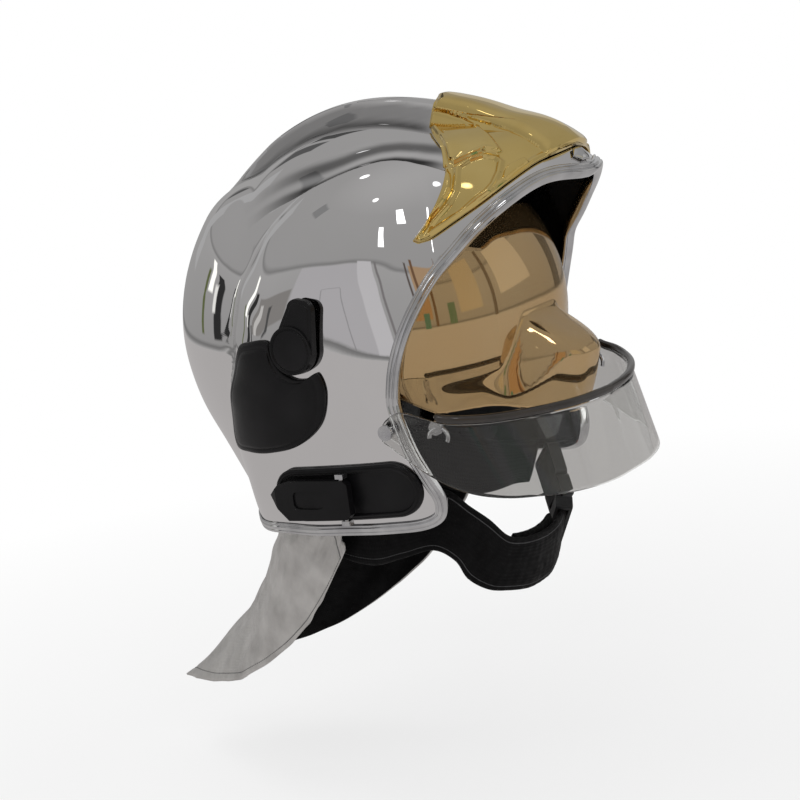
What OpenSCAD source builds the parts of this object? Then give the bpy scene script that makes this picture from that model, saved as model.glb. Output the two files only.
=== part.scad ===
// Fire helmet, jet style. Front is -Y, the wearer's left is +X, up is +Z.
// The origin is the middle of the headband.
// Side-view points are [forward, up]; a point on the skin is found from its
// angle round the X axis and its width from the middle plane.

/* [Shell] */
// Half width of the shell at the visor knobs
half_w = 121; // [120:0.5:123]
// Wall of the shell
shell_wall = 4; // [3:0.5:4.5]
// Reach of the brow from the origin
brow_reach = 209; // [208:0.5:211]
// Height of the crest over the origin
crest_top = 165; // [164:0.5:167]
// Reach of the rear of the shell
rear_reach = 153.5; // [152:0.5:156]
// Rise of the crest strip over the shell
ridge_rise = 13.5; // [10:0.5:15]
// Half width of the crest's flat top
strip_half = 10; // [8:0.5:12]
// Depth of the shell's lower edge under the origin
hem_depth = 109; // [108:0.5:111]

/* [Edge moulding and front plate] */
// Thickness of the moulding's lips
trim_lip = 1.5; // [1.2:0.1:2]
// How far the moulding laps onto the shell
trim_lap = 6; // [5:0.5:7]
// Thickness of the front plate
plate_t = 1.6; // [1.4:0.1:2.4]
// Rise of the front plate's raised panels
plate_relief = 3; // [2:0.5:4]

/* [Eye visor] */
// Visor pivots, forward of the origin
pivot_f = 14; // [13:0.5:15]
// Visor pivots, above the origin
pivot_h = 17; // [16:0.5:18]
// Radius of the visor's outer face about its pivots
visor_r = 113; // [112:0.5:114]
// Half width of the visor
visor_half = 109; // [108:0.5:110]
// Thickness of the visor
visor_t = 2.4; // [2:0.1:3]
// How far the nose bulge stands forward
nose_rise = 39; // [37:0.5:41]
// Radius of the pivot bolts
bolt_r = 5; // [4:0.5:5.5]
// Wall of the pivot bushes
bush_wall = 2.5; // [2:0.5:3]
// Radius of the visor knobs
knob_r = 16.5; // [15:0.5:18]
// Thickness of the visor knobs
knob_t = 7; // [5:0.5:8]
// Length of the knob's lever from its middle
lever_len = 34; // [31:1:37]
// Width of the lever
lever_w = 19; // [15:1:21]

/* [Face shield] */
// Shield pivots, forward of the origin
hinge_f = 74; // [73.5:0.5:74.5]
// Shield pivots, against the origin's height
hinge_h = -39; // [-40:0.5:-38.5]
// Reach of the shield's upper rim
rim_reach = 171; // [170:0.5:173]
// Height of the rim against the origin
rim_h = -37; // [-37.5:0.5:-36]
// Depth of the clear sheet below the rim
shield_drop = 51; // [48:1:53]
// How far the sheet flares forward at its lower edge
shield_flare = 11; // [9:1:12]
// Thickness of the clear sheet
shield_t = 2; // [1.6:0.1:2.4]
// Radius of the rim seal
rim_r = 2.8; // [2.4:0.1:3.2]
// Radius of the shield pins
pin_r = 2.5; // [2.25:0.25:2.75]

/* [Side fittings] */
// Thickness of the side covers
cover_t = 3; // [2:0.5:3.5]
// Thickness of the mask-bracket plates
mask_t = 3; // [2:0.5:4]
// Width of the mask-bracket plate's border
mask_border = 4; // [3:0.5:5]
// Length of the latch lever
latch_len = 44; // [38:1:48]
// Width of the latch lever
latch_w = 26; // [22:1:28]

/* [Headband and ratchet] */
// Half width of the headband's inner face
head_a = 77; // [75:0.5:80]
// Half length of the headband's inner face
head_b = 97; // [95:0.5:100]
// Height of the headband
band_h = 30; // [26:1:34]
// Thickness of the headband
band_t = 2; // [1.5:0.1:2.5]
// Radius of the toothed racks round the nape
rack_r = 66; // [65:0.5:67]
// Gear module of the racks and pinion
gear_m = 1.6; // [1.5:0.05:1.7]
// Teeth on the pinion
pinion_teeth = 10; // [9:1:10]
// Radius of the ratchet knob
dial_r = 17; // [15:0.5:19]

/* [Straps and curtain] */
// Width of the padded chin strap
strap_w = 34; // [30:1:38]
// Thickness of the padded chin strap
strap_t = 6; // [5:0.5:7]
// Thickness of the curtain's outer cloth
cloth_t = 1.6; // [1.2:0.1:2]
// Thickness of the curtain's lining
lining_t = 1.6; // [1.2:0.1:2]
// Slant length of the curtain behind the nape
curtain_len = 190; // [170:5:200]
// Width of the buckle
buckle_w = 32; // [30:1:36]

/* [Fits] */
// Gap between neighbours on different bodies
gap = 0.5; // [0.4:0.05:0.6]
// Seating gap of one piece on another
seat = 0.3; // [0.25:0.05:0.35]
// Running clearance of pins and shafts, on the radius
run = 0.08; // [0.05:0.01:0.1]

/* [Hidden] */

// Fullness of the side bulges, the crown band and the brow
side_full = 2.8;
crown_full = 2.2;
brow_full = 3;
brow_half = 102;
// Radii of the side bulge about the X axis: [angle, radius]
side_tab = [[-90, 195], [-60, 195], [-35, 178], [-5, 152], [25, 149], [45, 158], [60, 149],
  [76, 131], [96, 111], [122, 95], [145, 80], [173, 74], [202, 90], [226, 118], [250, 170]];
// Radii of the middle line, brow to nape
mid_tab = [[-90, 120], [0, brow_reach - 21], [16, brow_reach - 5], [28, brow_reach],
  [32, brow_reach - 3.5], [36, brow_reach - 10], [51.5, 182.5], [65.5, 173], [75.7, crest_top + 3],
  [85, crest_top], [95, crest_top - 3], [109, crest_top - 6], [122, crest_top - 9], [131, 154],
  [145, rear_reach + 0.5], [160, rear_reach + 0.5], [173, rear_reach - 0.5], [185, 149], [195, 145],
  [208, 141], [220, 144], [232, 155], [245, 170], [265, 176]];
// Half widths of the crown band
band_tab = [[-90, 108], [25, 114], [52, 114], [83, 109], [113, 105], [143, 104], [180, 104],
  [210, 103], [240, 104], [265, 106]];
// Edge of the shell in side view, from beside the brow's tip to beside the nape
edge_pts = [[176.5, 101.8], [164, 103], [138, 83], [112, 57], [95, 29], [85, 6], [80, -13], [80, -30],
  [85, -52], [92, -74], [96, -88], [93, 9 - hem_depth], [82, 3 - hem_depth], [55, 1 - hem_depth],
  [15, -hem_depth], [-25, -hem_depth], [-60, -hem_depth], [-84, 1 - hem_depth], [-97, 2 - hem_depth]];
tip_angle = 29.7;
nape_angle = 226.5;

// Smooth mean of named radii placed round a circle
function ring_mean(a, tab, k) =
  let (w = [for (t = tab) exp(k * (cos(a - t[0]) - 1))], v = [for (t = tab) t[1]], o = [for (t = tab) 1])
  (w * v) / (w * o);
// Smooth larger of two values
function over(a, b, k) = (a + b + sqrt((a - b) * (a - b) + k * k)) / 2;
function ease(a, b, x) = let (t = min(max((x - a) / (b - a), 0), 1)) t * t * (3 - 2 * t);
function oval(x, w, n) = pow(max(1 - pow(min(abs(x), 0.9999 * w) / w, n), 1e-9), 1 / n);
function mix(a, b, t) = a + (b - a) * t;
function unit(v) = v / norm(v);
// Side-view angle, kept clear of a jump at the chin
function side_angle(f, h) = let (a = atan2(h, f)) a < -90 ? a + 360 : a;

// Radius of the shell about the X axis at a side-view angle and a width
function skin(a, x) =
  let (bulge = ring_mean(a, side_tab, 24) * oval(x, half_w, side_full),
       mid = ring_mean(a, mid_tab, 60),
       rise = ridge_rise * ease(36, 58, a) * ease(137, 113, a),
       strip = rise * (1 - ease(strip_half, strip_half + 14, abs(x)) - 0.0075 * min(abs(x), 12)),
       crown = (mid - rise) * oval(x, ring_mean(a, band_tab, 24), crown_full) + strip,
       keel = 0.15 + 0.22 * exp(-pow((a - 46) / 11, 2)),
       brow = mid * oval(x, brow_half, brow_full) - keel * (sqrt(x * x + 9) - 3),
       share = ease(60, 36, a) * ease(-20, 10, a))
  over(bulge, mix(crown, brow, share), 2.5);

// Disc map: its rim is the middle plane and its centre the side of the shell
function disc_of(a, x) = let (r = 1 - asin(min(abs(x) / half_w, 1)) / 90) [r * cos(a), r * sin(a)];
function skin_at(m) =
  let (r = norm(m), a = side_angle(m[0], m[1]), x = half_w * sin(90 * (1 - r)), s = skin(a, abs(x)))
  [x, -s * cos(a), s * sin(a)];
function skin_normal(m) =
  let (e = 0.004, u = skin_at(m + [e, 0]) - skin_at(m - [e, 0]), v = skin_at(m + [0, e]) - skin_at(m - [0, e]),
       n = unit(cross(u, v)))
  n * skin_at(m) > 0 ? n : -n;
function lifted(m, d) = skin_at(m) + skin_normal(m) * d;

// Width of the skin at a side-view point, by halving
function skin_x(f, h, lo = 0, hi = half_w, n = 15) =
  n == 0 ? lo
  : let (m = (lo + hi) / 2)
    skin(side_angle(f, h), m) > norm([f, h]) ? skin_x(f, h, m, hi, n - 1) : skin_x(f, h, lo, m, n - 1);

// Curve through hand-set points
function chord(p, i) = sqrt(norm(p[i + 1] - p[i]));
function slope(p, i) =
  let (a = max(i - 1, 0), b = min(i + 1, len(p) - 1), d = (a < i ? chord(p, a) : 0) + (i < b ? chord(p, i) : 0))
  (p[b] - p[a]) / d;
function curve_at(p, u) =
  let (i = min(floor(u), len(p) - 2), s = u - i, h = chord(p, i))
  (2 * s * s * s - 3 * s * s + 1) * p[i] + (s * s * s - 2 * s * s + s) * h * slope(p, i)
  + (3 * s * s - 2 * s * s * s) * p[i + 1] + (s * s * s - s * s) * h * slope(p, i + 1);
function curve(p, n) = [for (i = [0 : n]) curve_at(p, i * (len(p) - 1) / n)];

function edge_map() = [for (e = edge_pts) disc_of(side_angle(e[0], e[1]), skin_x(e[0], e[1]))];

// Closed solid between two grids of points with the same rows and columns
module slab(top, bottom) {
  r = len(top);
  c = len(top[0]);
  n = r * c;
  pts = concat([for (row = top) each row], [for (row = bottom) each row]);
  grid = [for (i = [0 : r - 2], j = [0 : c - 2]) let (a = i * c + j)
    each [[a, a + 1, a + c + 1], [a, a + c + 1, a + c]]];
  back = [for (f = grid) [n + f[0], n + f[2], n + f[1]]];
  rim = concat([for (j = [0 : c - 2]) j], [for (i = [0 : r - 2]) i * c + c - 1],
    [for (j = [c - 1 : -1 : 1]) (r - 1) * c + j], [for (i = [r - 1 : -1 : 1]) i * c]);
  k = len(rim);
  wall = [for (i = [0 : k - 1]) let (a = rim[i], b = rim[(i + 1) % k])
    each [[a, n + a, n + b], [a, n + b, b]]];
  polyhedron(pts, concat(grid, back, wall), convexity = 8);
}

// Solid through rings of points; loop joins the last ring to the first
module loft(rings, loop = false) {
  r = len(rings);
  c = len(rings[0]);
  sides = [for (i = [0 : (loop ? r - 1 : r - 2)], j = [0 : c - 1])
    let (a = i * c + j, b = i * c + (j + 1) % c, d = ((i + 1) % r) * c + (j + 1) % c, e = ((i + 1) % r) * c + j)
    each [[a, d, b], [a, e, d]]];
  first = [for (j = [1 : c - 2]) [0, j, j + 1]];
  last = [for (j = [1 : c - 2]) [(r - 1) * c, (r - 1) * c + j + 1, (r - 1) * c + j]];
  polyhedron([for (row = rings) each row], loop ? sides : concat(sides, first, last), convexity = 8);
}

module both(side) { if (side > 0) children(); else mirror([1, 0, 0]) children(); }
// A cylinder along X, from x to x + len, at a side-view point
module rod(f, h, x, len, r, n = 48) {
  translate([x, -f, h]) rotate([0, 90, 0]) cylinder(r = r, h = len, $fn = n);
}

// Rows of the shell's grid from the middle plane (0) to the edge (1)
shell_rows = [0, 0.018, 0.037, 0.06, 0.1, 0.17, 0.28, 0.42, 0.58, 0.74, 0.89, 0.96, 1];
shell_steps = 38;
function shell_half_grid(steps, rows) =
  let (edge = curve(edge_map(), steps))
  [for (i = [0 : steps]) let (a = mix(tip_angle, nape_angle, i / steps), m = [cos(a), sin(a)])
    [for (t = rows) mix(m, edge[i], t)]];
function flip(p) = [-p[0], p[1], p[2]];
function whole_row(row) = concat([for (j = [len(row) - 1 : -1 : 1]) flip(row[j])], row);

module outer_shell() {
  g = shell_half_grid(shell_steps, shell_rows);
  top = [for (row = g) whole_row([for (m = row) skin_at(m)])];
  low = [for (row = g) whole_row([for (j = [0 : len(row) - 1])
    let (n = skin_normal(row[j]), k = j == 0 ? unit([0, n[1], n[2]]) : n) skin_at(row[j]) - k * shell_wall])];
  color("silver") difference() {
    slab(low, top);
    for (s = [-1, 1]) both(s) {
      rod(pivot_f, pivot_h, half_w - 20, 30, bolt_r + bush_wall + gap);
      rod(hinge_f, hinge_h, half_w - 20, 30, pin_r + gap);
    }
  }
}

// Disc-map points once round the shell's edge, from the brow's tip; the moulding's
// lips are narrower beside the shield pins
function flip_if(p, yes) = yes ? flip(p) : p;
function edge_half() =
  let (edge = curve(edge_map(), shell_steps), a = [cos(tip_angle), sin(tip_angle)],
       b = [cos(nape_angle), sin(nape_angle)])
  concat([for (t = [0, 0.5]) mix(a, edge[0], t)], edge, [for (t = [0.5, 0]) mix(b, edge[shell_steps], t)]);

module edge_trim() {
  half = edge_half();
  k = len(half);
  maps = concat(half, [for (i = [k - 2 : -1 : 1]) half[i]]);
  side = concat([for (i = half) false], [for (i = [k - 2 : -1 : 1]) true]);
  n = len(maps);
  p = [for (i = [0 : n - 1]) flip_if(skin_at(maps[i]), side[i])];
  nrm = [for (i = [0 : n - 1]) let (v = skin_normal(maps[i]), mid = norm(maps[i]) > 0.999)
    flip_if(mid ? unit([0, v[1], v[2]]) : v, side[i])];
  in = seat + 0.9;
  web = seat + 0.35;
  top = in + trim_lip;
  low = -shell_wall - top;
  // The inner lip is half as wide, and both are narrower at the hem's tight corners
  function section(lap) = [[-lap, in], [-lap, in + 0.5 * trim_lip], [1.2 - lap, top], [seat, top],
    [seat + trim_lip, in], [seat + trim_lip, low + trim_lip], [seat, low], [0.8 - lap / 2, low],
    [-lap / 2, low + 0.5 * trim_lip], [-lap / 2, low + trim_lip], [web, low + trim_lip], [web, in]];
  rings = [for (i = [0 : n - 1])
    let (t = unit(p[(i + 1) % n] - p[(i + n - 1) % n]), b = unit(cross(t, nrm[i])),
         tight = 1 - 0.5 * exp(-pow(norm([abs(p[i][0]) - 74, p[i][1] - 73]) / 14, 2)),
         lap = min(trim_lap * tight, abs(p[i][2] - hinge_h) > 18 ? trim_lap : -p[i][1] - hinge_f - pin_r - gap - 1.6))
    [for (q = section(lap)) p[i] + b * q[0] + nrm[i] * q[1]]];
  color("gainsboro") loft(rings, loop = true);
}

// Front plate between its rear and front outlines: [angle, width]
plate_rear = [[66, 0], [64, 13], [60.6, 26], [52, 48], [46.3, 63], [42.2, 76], [40.1, 86], [38.8, 93]];
plate_front = [[35.2, 0], [35.2, 16], [35.4, 34], [35, 55], [34.8, 71], [35.6, 84], [37.2, 91.5]];
plate_rows = [0, 0.08, 0.2, 0.35, 0.5, 0.65, 0.8, 0.92, 1];
plate_steps = 14;
plate_gap = 2;
function plate_rise(s, t) =
  plate_relief * (0.75 * (1 - ease(0.3, 0.4, s + 0.12 * t)) + 0.4 * exp(-pow(s / 0.07, 2))
  + 0.35 * ease(0.78, 0.95, s)) * ease(0, 0.12, t) * ease(1, 0.88, t) * ease(1, 0.93, s);

module front_plate() {
  a = curve([for (q = plate_rear) disc_of(q[0], q[1])], plate_steps);
  b = curve([for (q = plate_front) disc_of(q[0], q[1])], plate_steps);
  g = [for (i = [0 : plate_steps]) [for (t = plate_rows) mix(a[i], b[i], t)]];
  base = [for (row = g) [for (m = row) lifted(m, plate_gap)]];
  top = [for (i = [0 : plate_steps]) [for (j = [0 : len(plate_rows) - 1])
    lifted(g[i][j], plate_gap + plate_t + plate_rise(i / plate_steps, plate_rows[j]))]];
  flat = function (row, first) [for (p = row) first ? [0, p[1], p[2]] : p];
  low = concat([for (i = [plate_steps : -1 : 1]) [for (p = base[i]) flip(p)]],
    [for (i = [0 : plate_steps]) flat(base[i], i == 0)]);
  high = concat([for (i = [plate_steps : -1 : 1]) [for (p = top[i]) flip(p)]],
    [for (i = [0 : plate_steps]) flat(top[i], i == 0)]);
  color("goldenrod") slab(low, high);
}

// Liner: inside the shell and inside the space that the raised visor takes
liner_half = 101.5;
liner_edge = [[112, 25], [96, 14], [60, 8], [20, 4], [-25, 0], [-60, -8], [-95, -14], [-118, -16]];
function visor_profile(x) = visor_r * oval(x, visor_half, 2.5);
function liner_skin(a, x) =
  let (r = max(visor_profile(x) - visor_t - 5, 1), d = pivot_f * cos(a) + pivot_h * sin(a),
       limit = d + sqrt(max(d * d - pivot_f * pivot_f - pivot_h * pivot_h + r * r, 1)),
       shell = skin(a, min(x * half_w / liner_half, half_w)) - shell_wall - 3)
  a < 84 ? min(shell, limit) : a < 94 ? mix(min(shell, limit), shell, (a - 84) / 10) : shell;
function liner_x(f, h, lo = 0, hi = liner_half, n = 14) =
  n == 0 ? lo
  : let (m = (lo + hi) / 2)
    liner_skin(side_angle(f, h), m) > norm([f, h]) ? liner_x(f, h, m, hi, n - 1) : liner_x(f, h, lo, m, n - 1);
function liner_at(m) =
  let (r = norm(m), a = side_angle(m[0], m[1]), x = liner_half * sin(90 * (1 - r)), s = liner_skin(a, x))
  [x, -s * cos(a), s * sin(a)];
function liner_map(a, x) = let (r = 1 - asin(min(x / liner_half, 1)) / 90) [r * cos(a), r * sin(a)];
// Head space: radius along a direction
head_tab = [[-90, 90], [0, 104], [45, 116], [90, 121], [135, 115], [180, 105], [225, 100]];
function head_reach(d, w = 85) =
  1 / pow(pow(abs(d[0]) / w, 2.2) + pow(norm([d[1], d[2]]) / ring_mean(side_angle(-d[1], d[2]), head_tab, 8), 2.2),
    1 / 2.2);
liner_rows = [0, 0.12, 0.26, 0.42, 0.58, 0.72, 0.86, 1];

module impact_liner() {
  steps = 22;
  edge = curve([for (e = liner_edge) liner_map(side_angle(e[0], e[1]), liner_x(e[0], e[1]))], steps);
  g = [for (i = [0 : steps]) let (a = mix(13.5, 187, i / steps), m = [cos(a), sin(a)])
    whole_row([for (t = liner_rows) liner_at(mix(m, edge[i], t))])];
  low = [for (row = g) [for (p = row) let (d = unit(p)) d * min(head_reach(d), norm(p) - 4)]];
  color("dimgray") slab(low, g);
}

// Cushion made of rings round a direction, from its outer middle to its inner middle
module crown_pad() {
  n = 20;
  prof = [[3, 0], [14, 0], [24, 0.3], [28, 2], [29, 5], [27, 8], [20, 9.6], [10, 10], [3, 10]];
  rings = [for (q = prof) [for (i = [0 : n - 1])
    let (t = -i * 360 / n, d = [sin(q[0]) * cos(t), sin(q[0]) * sin(t), cos(q[0])])
    d * (head_reach(d) - 1.3 - q[1])]];
  color("dimgray") loft(rings);
}

// Plan outline of the head at an outward offset, from angle a to b round from the front
function head_oval(off, a, b, n) = [for (i = [0 : n]) let (t = mix(a, b, i / n))
  [(head_a + off) * sin(t), -(head_b + off) * cos(t)]];
band_low = 4 - band_h / 2;
band_end = 112;

module crown_straps() {
  w = 20;
  t = 1.2;
  top = band_low + band_h;
  function arc(a, off, end) = concat([[-(a + off), top - 12]],
    [for (i = [-20 : 20]) let (u = i * 4.5) [(a + off) * sin(u), top + (103.5 - top + off) * cos(u)]], [[a + off, end]]);
  function arms(a, end) = [arc(a, t, end), arc(a, 0, end)];
  cross_arm = arms(head_a + band_t + seat, top - 12);
  long_arm = arms(head_b + band_t + seat, -13);
  color("black") union() {
    rotate([90, 0, 0]) linear_extrude(w, center = true) strip_of(cross_arm[0], cross_arm[1]);
    rotate([90, 0, 90]) linear_extrude(w, center = true) strip_of(long_arm[0], long_arm[1]);
  }
}
module strip_of(outer, inner) { polygon(concat(outer, [for (i = [len(inner) - 1 : -1 : 0]) inner[i]])); }

module strap_hangers() {
  x = head_a + band_t + 2 * seat + 1.2;
  y = head_b + band_t + 2 * seat + 1.2;
  color("black") union() {
    for (s = [-1, 1]) both(s) rod(0, 13, x, 83.5 - x, 4);
    translate([0, y, 6]) rotate([-90, 0, 0]) cylinder(r = 4, h = 104.9 - y, $fn = 48);
  }
}

// The racks lie on an arc behind the nape, round a vertical axis
nape_z = -36;
nape_y = 26;
rack_t = 3;
pitch_r = gear_m * pinion_teeth / 2;
rack_step = 360 * gear_m / (2 * rack_r);
rack_h = 7;
guide_a = 56;
module nape_arc(a0, a1) {
  translate([0, nape_y, 0]) rotate([0, 0, 90 + a0]) rotate_extrude(angle = a1 - a0, $fn = 96) children();
}
module band_section(r, z, w, h) { translate([r, z]) square([w, h]); }

module headband() {
  color("black") union() {
    translate([0, 0, band_low]) linear_extrude(band_h)
      strip_of(head_oval(band_t, -band_end, band_end, 44), head_oval(0, -band_end, band_end, 44));
    for (s = [-1, 1]) both(s) {
      hull() {
        p = head_oval(0.6, band_end - 6, band_end, 1);
        translate([p[1][0] - 1.5, p[1][1] - 4, band_low]) cube([2.4, 4, 16]);
        nape_arc(-76, -74) band_section(rack_r + rack_t + gap, nape_z - 16, 2.4, 32);
      }
      nape_arc(-76, -guide_a - 3) band_section(rack_r + rack_t + gap, nape_z - 16, 2.4, 32);
      nape_arc(-guide_a - 4, -guide_a + 4) difference() {
        band_section(rack_r - gap - 2, nape_z - 20, rack_t + 2 * gap + 4.4, 40);
        band_section(rack_r - gap, nape_z - 17.5, rack_t + 2 * gap, 35);
      }
    }
  }
}

module brow_pad() {
  n = 26;
  rings = [for (i = [0 : n]) let (t = mix(-62, 62, i / n), e = 1 - pow(abs(t) / 63, 6), w = 5.5 * e + 0.8,
      h = (band_h / 2 + 1) * (0.75 + 0.25 * e), o = head_oval(-seat, t, t, 1)[0], d = [sin(t), -cos(t)], z = band_low + band_h / 2)
    [for (q = [[0, -1], [-0.55, -0.9], [-0.95, -0.45], [-1, 0], [-0.95, 0.45], [-0.55, 0.9], [0, 1]])
      [o[0] + d[0] * q[0] * w, o[1] + d[1] * q[0] * w, z + q[1] * h]]];
  color("saddlebrown") loft(rings);
}

module nape_pad() {
  n = 14;
  rings = [for (i = [0 : n]) let (t = mix(30, -30, i / n), e = 1 - pow(abs(t) / 31, 4), w = 5 * e + 0.8,
      h = 18 * (0.7 + 0.3 * e), r = rack_r - gap - 3.2)
    [for (q = [[0, -1], [-0.6, -0.85], [-1, -0.4], [-1, 0.4], [-0.6, 0.85], [0, 1]])
      [(r + q[0] * w) * sin(t), nape_y + (r + q[0] * w) * cos(t), nape_z + q[1] * h]]];
  color("dimgray") loft(rings);
}

box_half = 23;
module nape_housing() {
  back = nape_y + rack_r + rack_t;
  color("black") difference() {
    union() {
      nape_arc(-20, 20) band_section(rack_r - gap - 2.4, nape_z - 20, 3.4, 40);
      translate([-box_half, back - 6, nape_z - 21]) cube([2 * box_half, 10, 42]);
      translate([-13, back, nape_z + 20]) cube([26, 4, 17]);
    }
    nape_arc(-32, 32) band_section(rack_r - gap, nape_z - 18, rack_t + 2 * gap, 36);
    translate([0, back + 10, nape_z]) rotate([90, 0, 0]) cylinder(r = 4 + run, h = 8 + rack_t, $fn = 48);
    translate([0, back + gap, nape_z]) rotate([90, 0, 0]) cylinder(r = pitch_r + gear_m + 1, h = rack_t + 0.3, $fn = 60);
  }
}

module ratchet_knob() {
  back = nape_y + rack_r + rack_t + 4 + gap;
  color("black") translate([0, back, nape_z]) rotate([-90, 0, 0]) difference() {
    union() {
      cylinder(r = dial_r, h = 9, $fn = 72);
      translate([0, 0, 9]) cylinder(r1 = dial_r, r2 = dial_r - 1.5, h = 1.5, $fn = 72);
    }
    for (i = [0 : 11]) rotate([0, 0, i * 30 + 15]) translate([dial_r + 1.6, 0, -1]) cylinder(r = 3, h = 13, $fn = 24);
    translate([0, 0, -1]) cylinder(r = 4, h = 7, $fn = 48);
  }
}

// Rack tooth and pinion tooth share one module; both are thinned for free running
module ratchet_pinion() {
  back = nape_y + rack_r + rack_t;
  tip = pitch_r + 0.85 * gear_m;
  root = pitch_r - 1.15 * gear_m;
  half = 360 / (4 * pinion_teeth) - 2.2;
  color("silver") translate([0, back, nape_z]) rotate([90, 0, 0]) union() {
    linear_extrude(rack_t + gap, $fn = 60) union() {
      circle(r = root, $fn = 60);
      for (i = [0 : pinion_teeth - 1]) rotate(i * 360 / pinion_teeth + 90 + 180 / pinion_teeth)
        polygon([for (q = [[root - 0.6, 1.75], [pitch_r, 1], [tip, 0.42]]) q[0] * [cos(half * q[1]), sin(half * q[1])],
          for (q = [[tip, -0.42], [pitch_r, -1], [root - 0.6, -1.75]]) q[0] * [cos(half * q[1]), sin(half * q[1])]]);
    }
    translate([0, 0, -10.5]) cylinder(r = 4, h = 10.5, $fn = 48);
  }
}

// Upper rack (teeth down) runs to the left guide, the lower one to the right
module rack(side) {
  z0 = pitch_r + 1.15 * gear_m;
  flat = gear_m * 3.1416 / 2 - 0.5;
  color("dimgray") translate([0, 0, nape_z]) rotate([0, side > 0 ? 0 : 180, 0]) union() {
    nape_arc(-guide_a - 11, 27) band_section(rack_r, z0, rack_t, rack_h);
    for (i = [-6 : 6]) translate([0, nape_y, 0]) rotate([0, 0, i * rack_step]) translate([0, rack_r + rack_t, 0])
      rotate([90, 0, 0]) linear_extrude(rack_t) polygon([[-flat / 2 - 0.45 * gear_m, z0 + 0.5],
        [flat / 2 + 0.45 * gear_m, z0 + 0.5], [flat / 2 - 0.3 * gear_m, pitch_r - 0.85 * gear_m],
        [-flat / 2 + 0.3 * gear_m, pitch_r - 0.85 * gear_m]]);
  }
}

// Soft pad in side view: superelliptic outline, crowned faces
pad_x = half_w - 20;
module cheek_pad() {
  n = 28;
  c = [10, -49];
  prof = [[0.06, 0], [0.5, 0], [0.85, 1], [0.97, 3], [1, 6.5], [0.96, 10], [0.82, 12.6], [0.5, 14], [0.06, 14.4]];
  rings = [for (q = prof) [for (i = [0 : n - 1]) let (t = i * 360 / n, k = pow(pow(abs(cos(t)), 3) + pow(abs(sin(t)), 3), -1 / 3),
      f = c[0] + 52 * q[0] * k * cos(t), h = c[1] + 36 * q[0] * k * sin(t))
    [pad_x - q[1] - 0.0011 * pow(f - 10, 2), -f, h]]];
  color("dimgray") loft(rings);
}

module pad_post() {
  color("black") rod(-5, -62, pad_x, skin_x(-13, -70) - shell_wall - seat - pad_x - 3, 6);
}

// Visor surface, about the pivots: turned profile plus lip and nose bulge
visor_top = 36;
ear_x = visor_half * sin(74);
function nose_line(x) = -21 + 31 * (1 - ease(20, 46, x));
function visor_at(a, x, r0, d) =
  let (w = abs(x), h = pivot_h + r0 * sin(a),
       lift = (7 + (nose_rise - 7) * (1 - ease(6, 60, w))) * ease(nose_line(w) + 6, nose_line(w) - 18, h)
         * ease(ear_x, ear_x - 26, w),
       r = r0 + lift - d)
  [x * (1 - d / visor_half), -(pivot_f + r * cos(a)), pivot_h + r * sin(a)];
function visor_low(x, r0) = -min(asin(min((44 + pivot_h) / (r0 + 18), 1)), 36);
// Columns across the lens as [width, radius]; the last ones are flat ears that lie on the arms
function visor_cols(n) =
  let (c = [for (i = [0 : n]) let (x = visor_half * sin(mix(-74, 74, i / n))) [x, visor_profile(abs(x))]])
  concat([[-ear_x, 24], [-ear_x, 34]], c, [[ear_x, 34], [ear_x, 24]]);

module visor_lens() {
  cols = visor_cols(28);
  rows = 13;
  function grid(d) = [for (c = cols) let (lo = visor_low(c[0], c[1]))
    [for (j = [0 : rows]) visor_at(mix(visor_top, lo, j / rows), c[0], c[1], d)]];
  color("darkkhaki") slab(grid(visor_t), grid(0));
}

arm_x = ear_x + seat;
arm_t = 2.2;
module visor_arm() {
  color("dimgray") difference() {
    union() {
      rod(pivot_f, pivot_h, arm_x, arm_t, 13);
      translate([arm_x, -pivot_f, pivot_h]) rotate([90, 0, 90]) linear_extrude(arm_t)
        polygon([[4, 12.4], [-30, 27], [-39, 22], [-43, 8], [-43, -8], [-39, -20], [-30, -23], [4, -12.4]]);
    }
    rod(pivot_f, pivot_h, arm_x - 1, arm_t + 2, bolt_r);
  }
}

knob_x = half_w + 1.2;
module pivot_bolt() {
  color("silver") union() {
    rod(pivot_f, pivot_h, arm_x - 2.6, 2.6, 8);
    rod(pivot_f, pivot_h, arm_x - 0.5, knob_x + knob_t - 2 - arm_x + 0.5, bolt_r);
  }
}

module pivot_bush() {
  x0 = arm_x + arm_t + gap;
  color("dimgray") difference() {
    union() {
      rod(pivot_f, pivot_h, x0, 2, bolt_r + bush_wall + 4);
      rod(pivot_f, pivot_h, x0, knob_x - gap - x0, bolt_r + bush_wall);
    }
    rod(pivot_f, pivot_h, x0 - 1, knob_x - x0 + 2, bolt_r + run);
  }
}

lever_angle = 77;
module visor_knob() {
  r = lever_w / 2;
  // The lever's front edge runs down to the knob's rim
  mid = knob_r - 2.5 - r;
  outline = concat([for (i = [0 : 10]) let (t = 90 - i * 18)
    [lever_len - 6 + 6 * cos(t), mid + (r - 6) * sign(sin(t)) + 6 * sin(t)]], [[0, 1.5 - knob_r], [0, knob_r]]);
  color("black") difference() {
    union() {
      rod(pivot_f, pivot_h, knob_x, knob_t - 1.5, knob_r, 96);
      translate([knob_x + knob_t - 1.5, -pivot_f, pivot_h]) rotate([0, 90, 0])
        cylinder(r1 = knob_r, r2 = knob_r - 1.5, h = 1.5, $fn = 96);
      translate([knob_x, -pivot_f, pivot_h]) rotate([90, 0, 90]) rotate(180 - lever_angle)
        linear_extrude(knob_t - 2) polygon(outline);
    }
    rod(pivot_f, pivot_h, knob_x - 1, knob_t - 1, bolt_r);
  }
}

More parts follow.
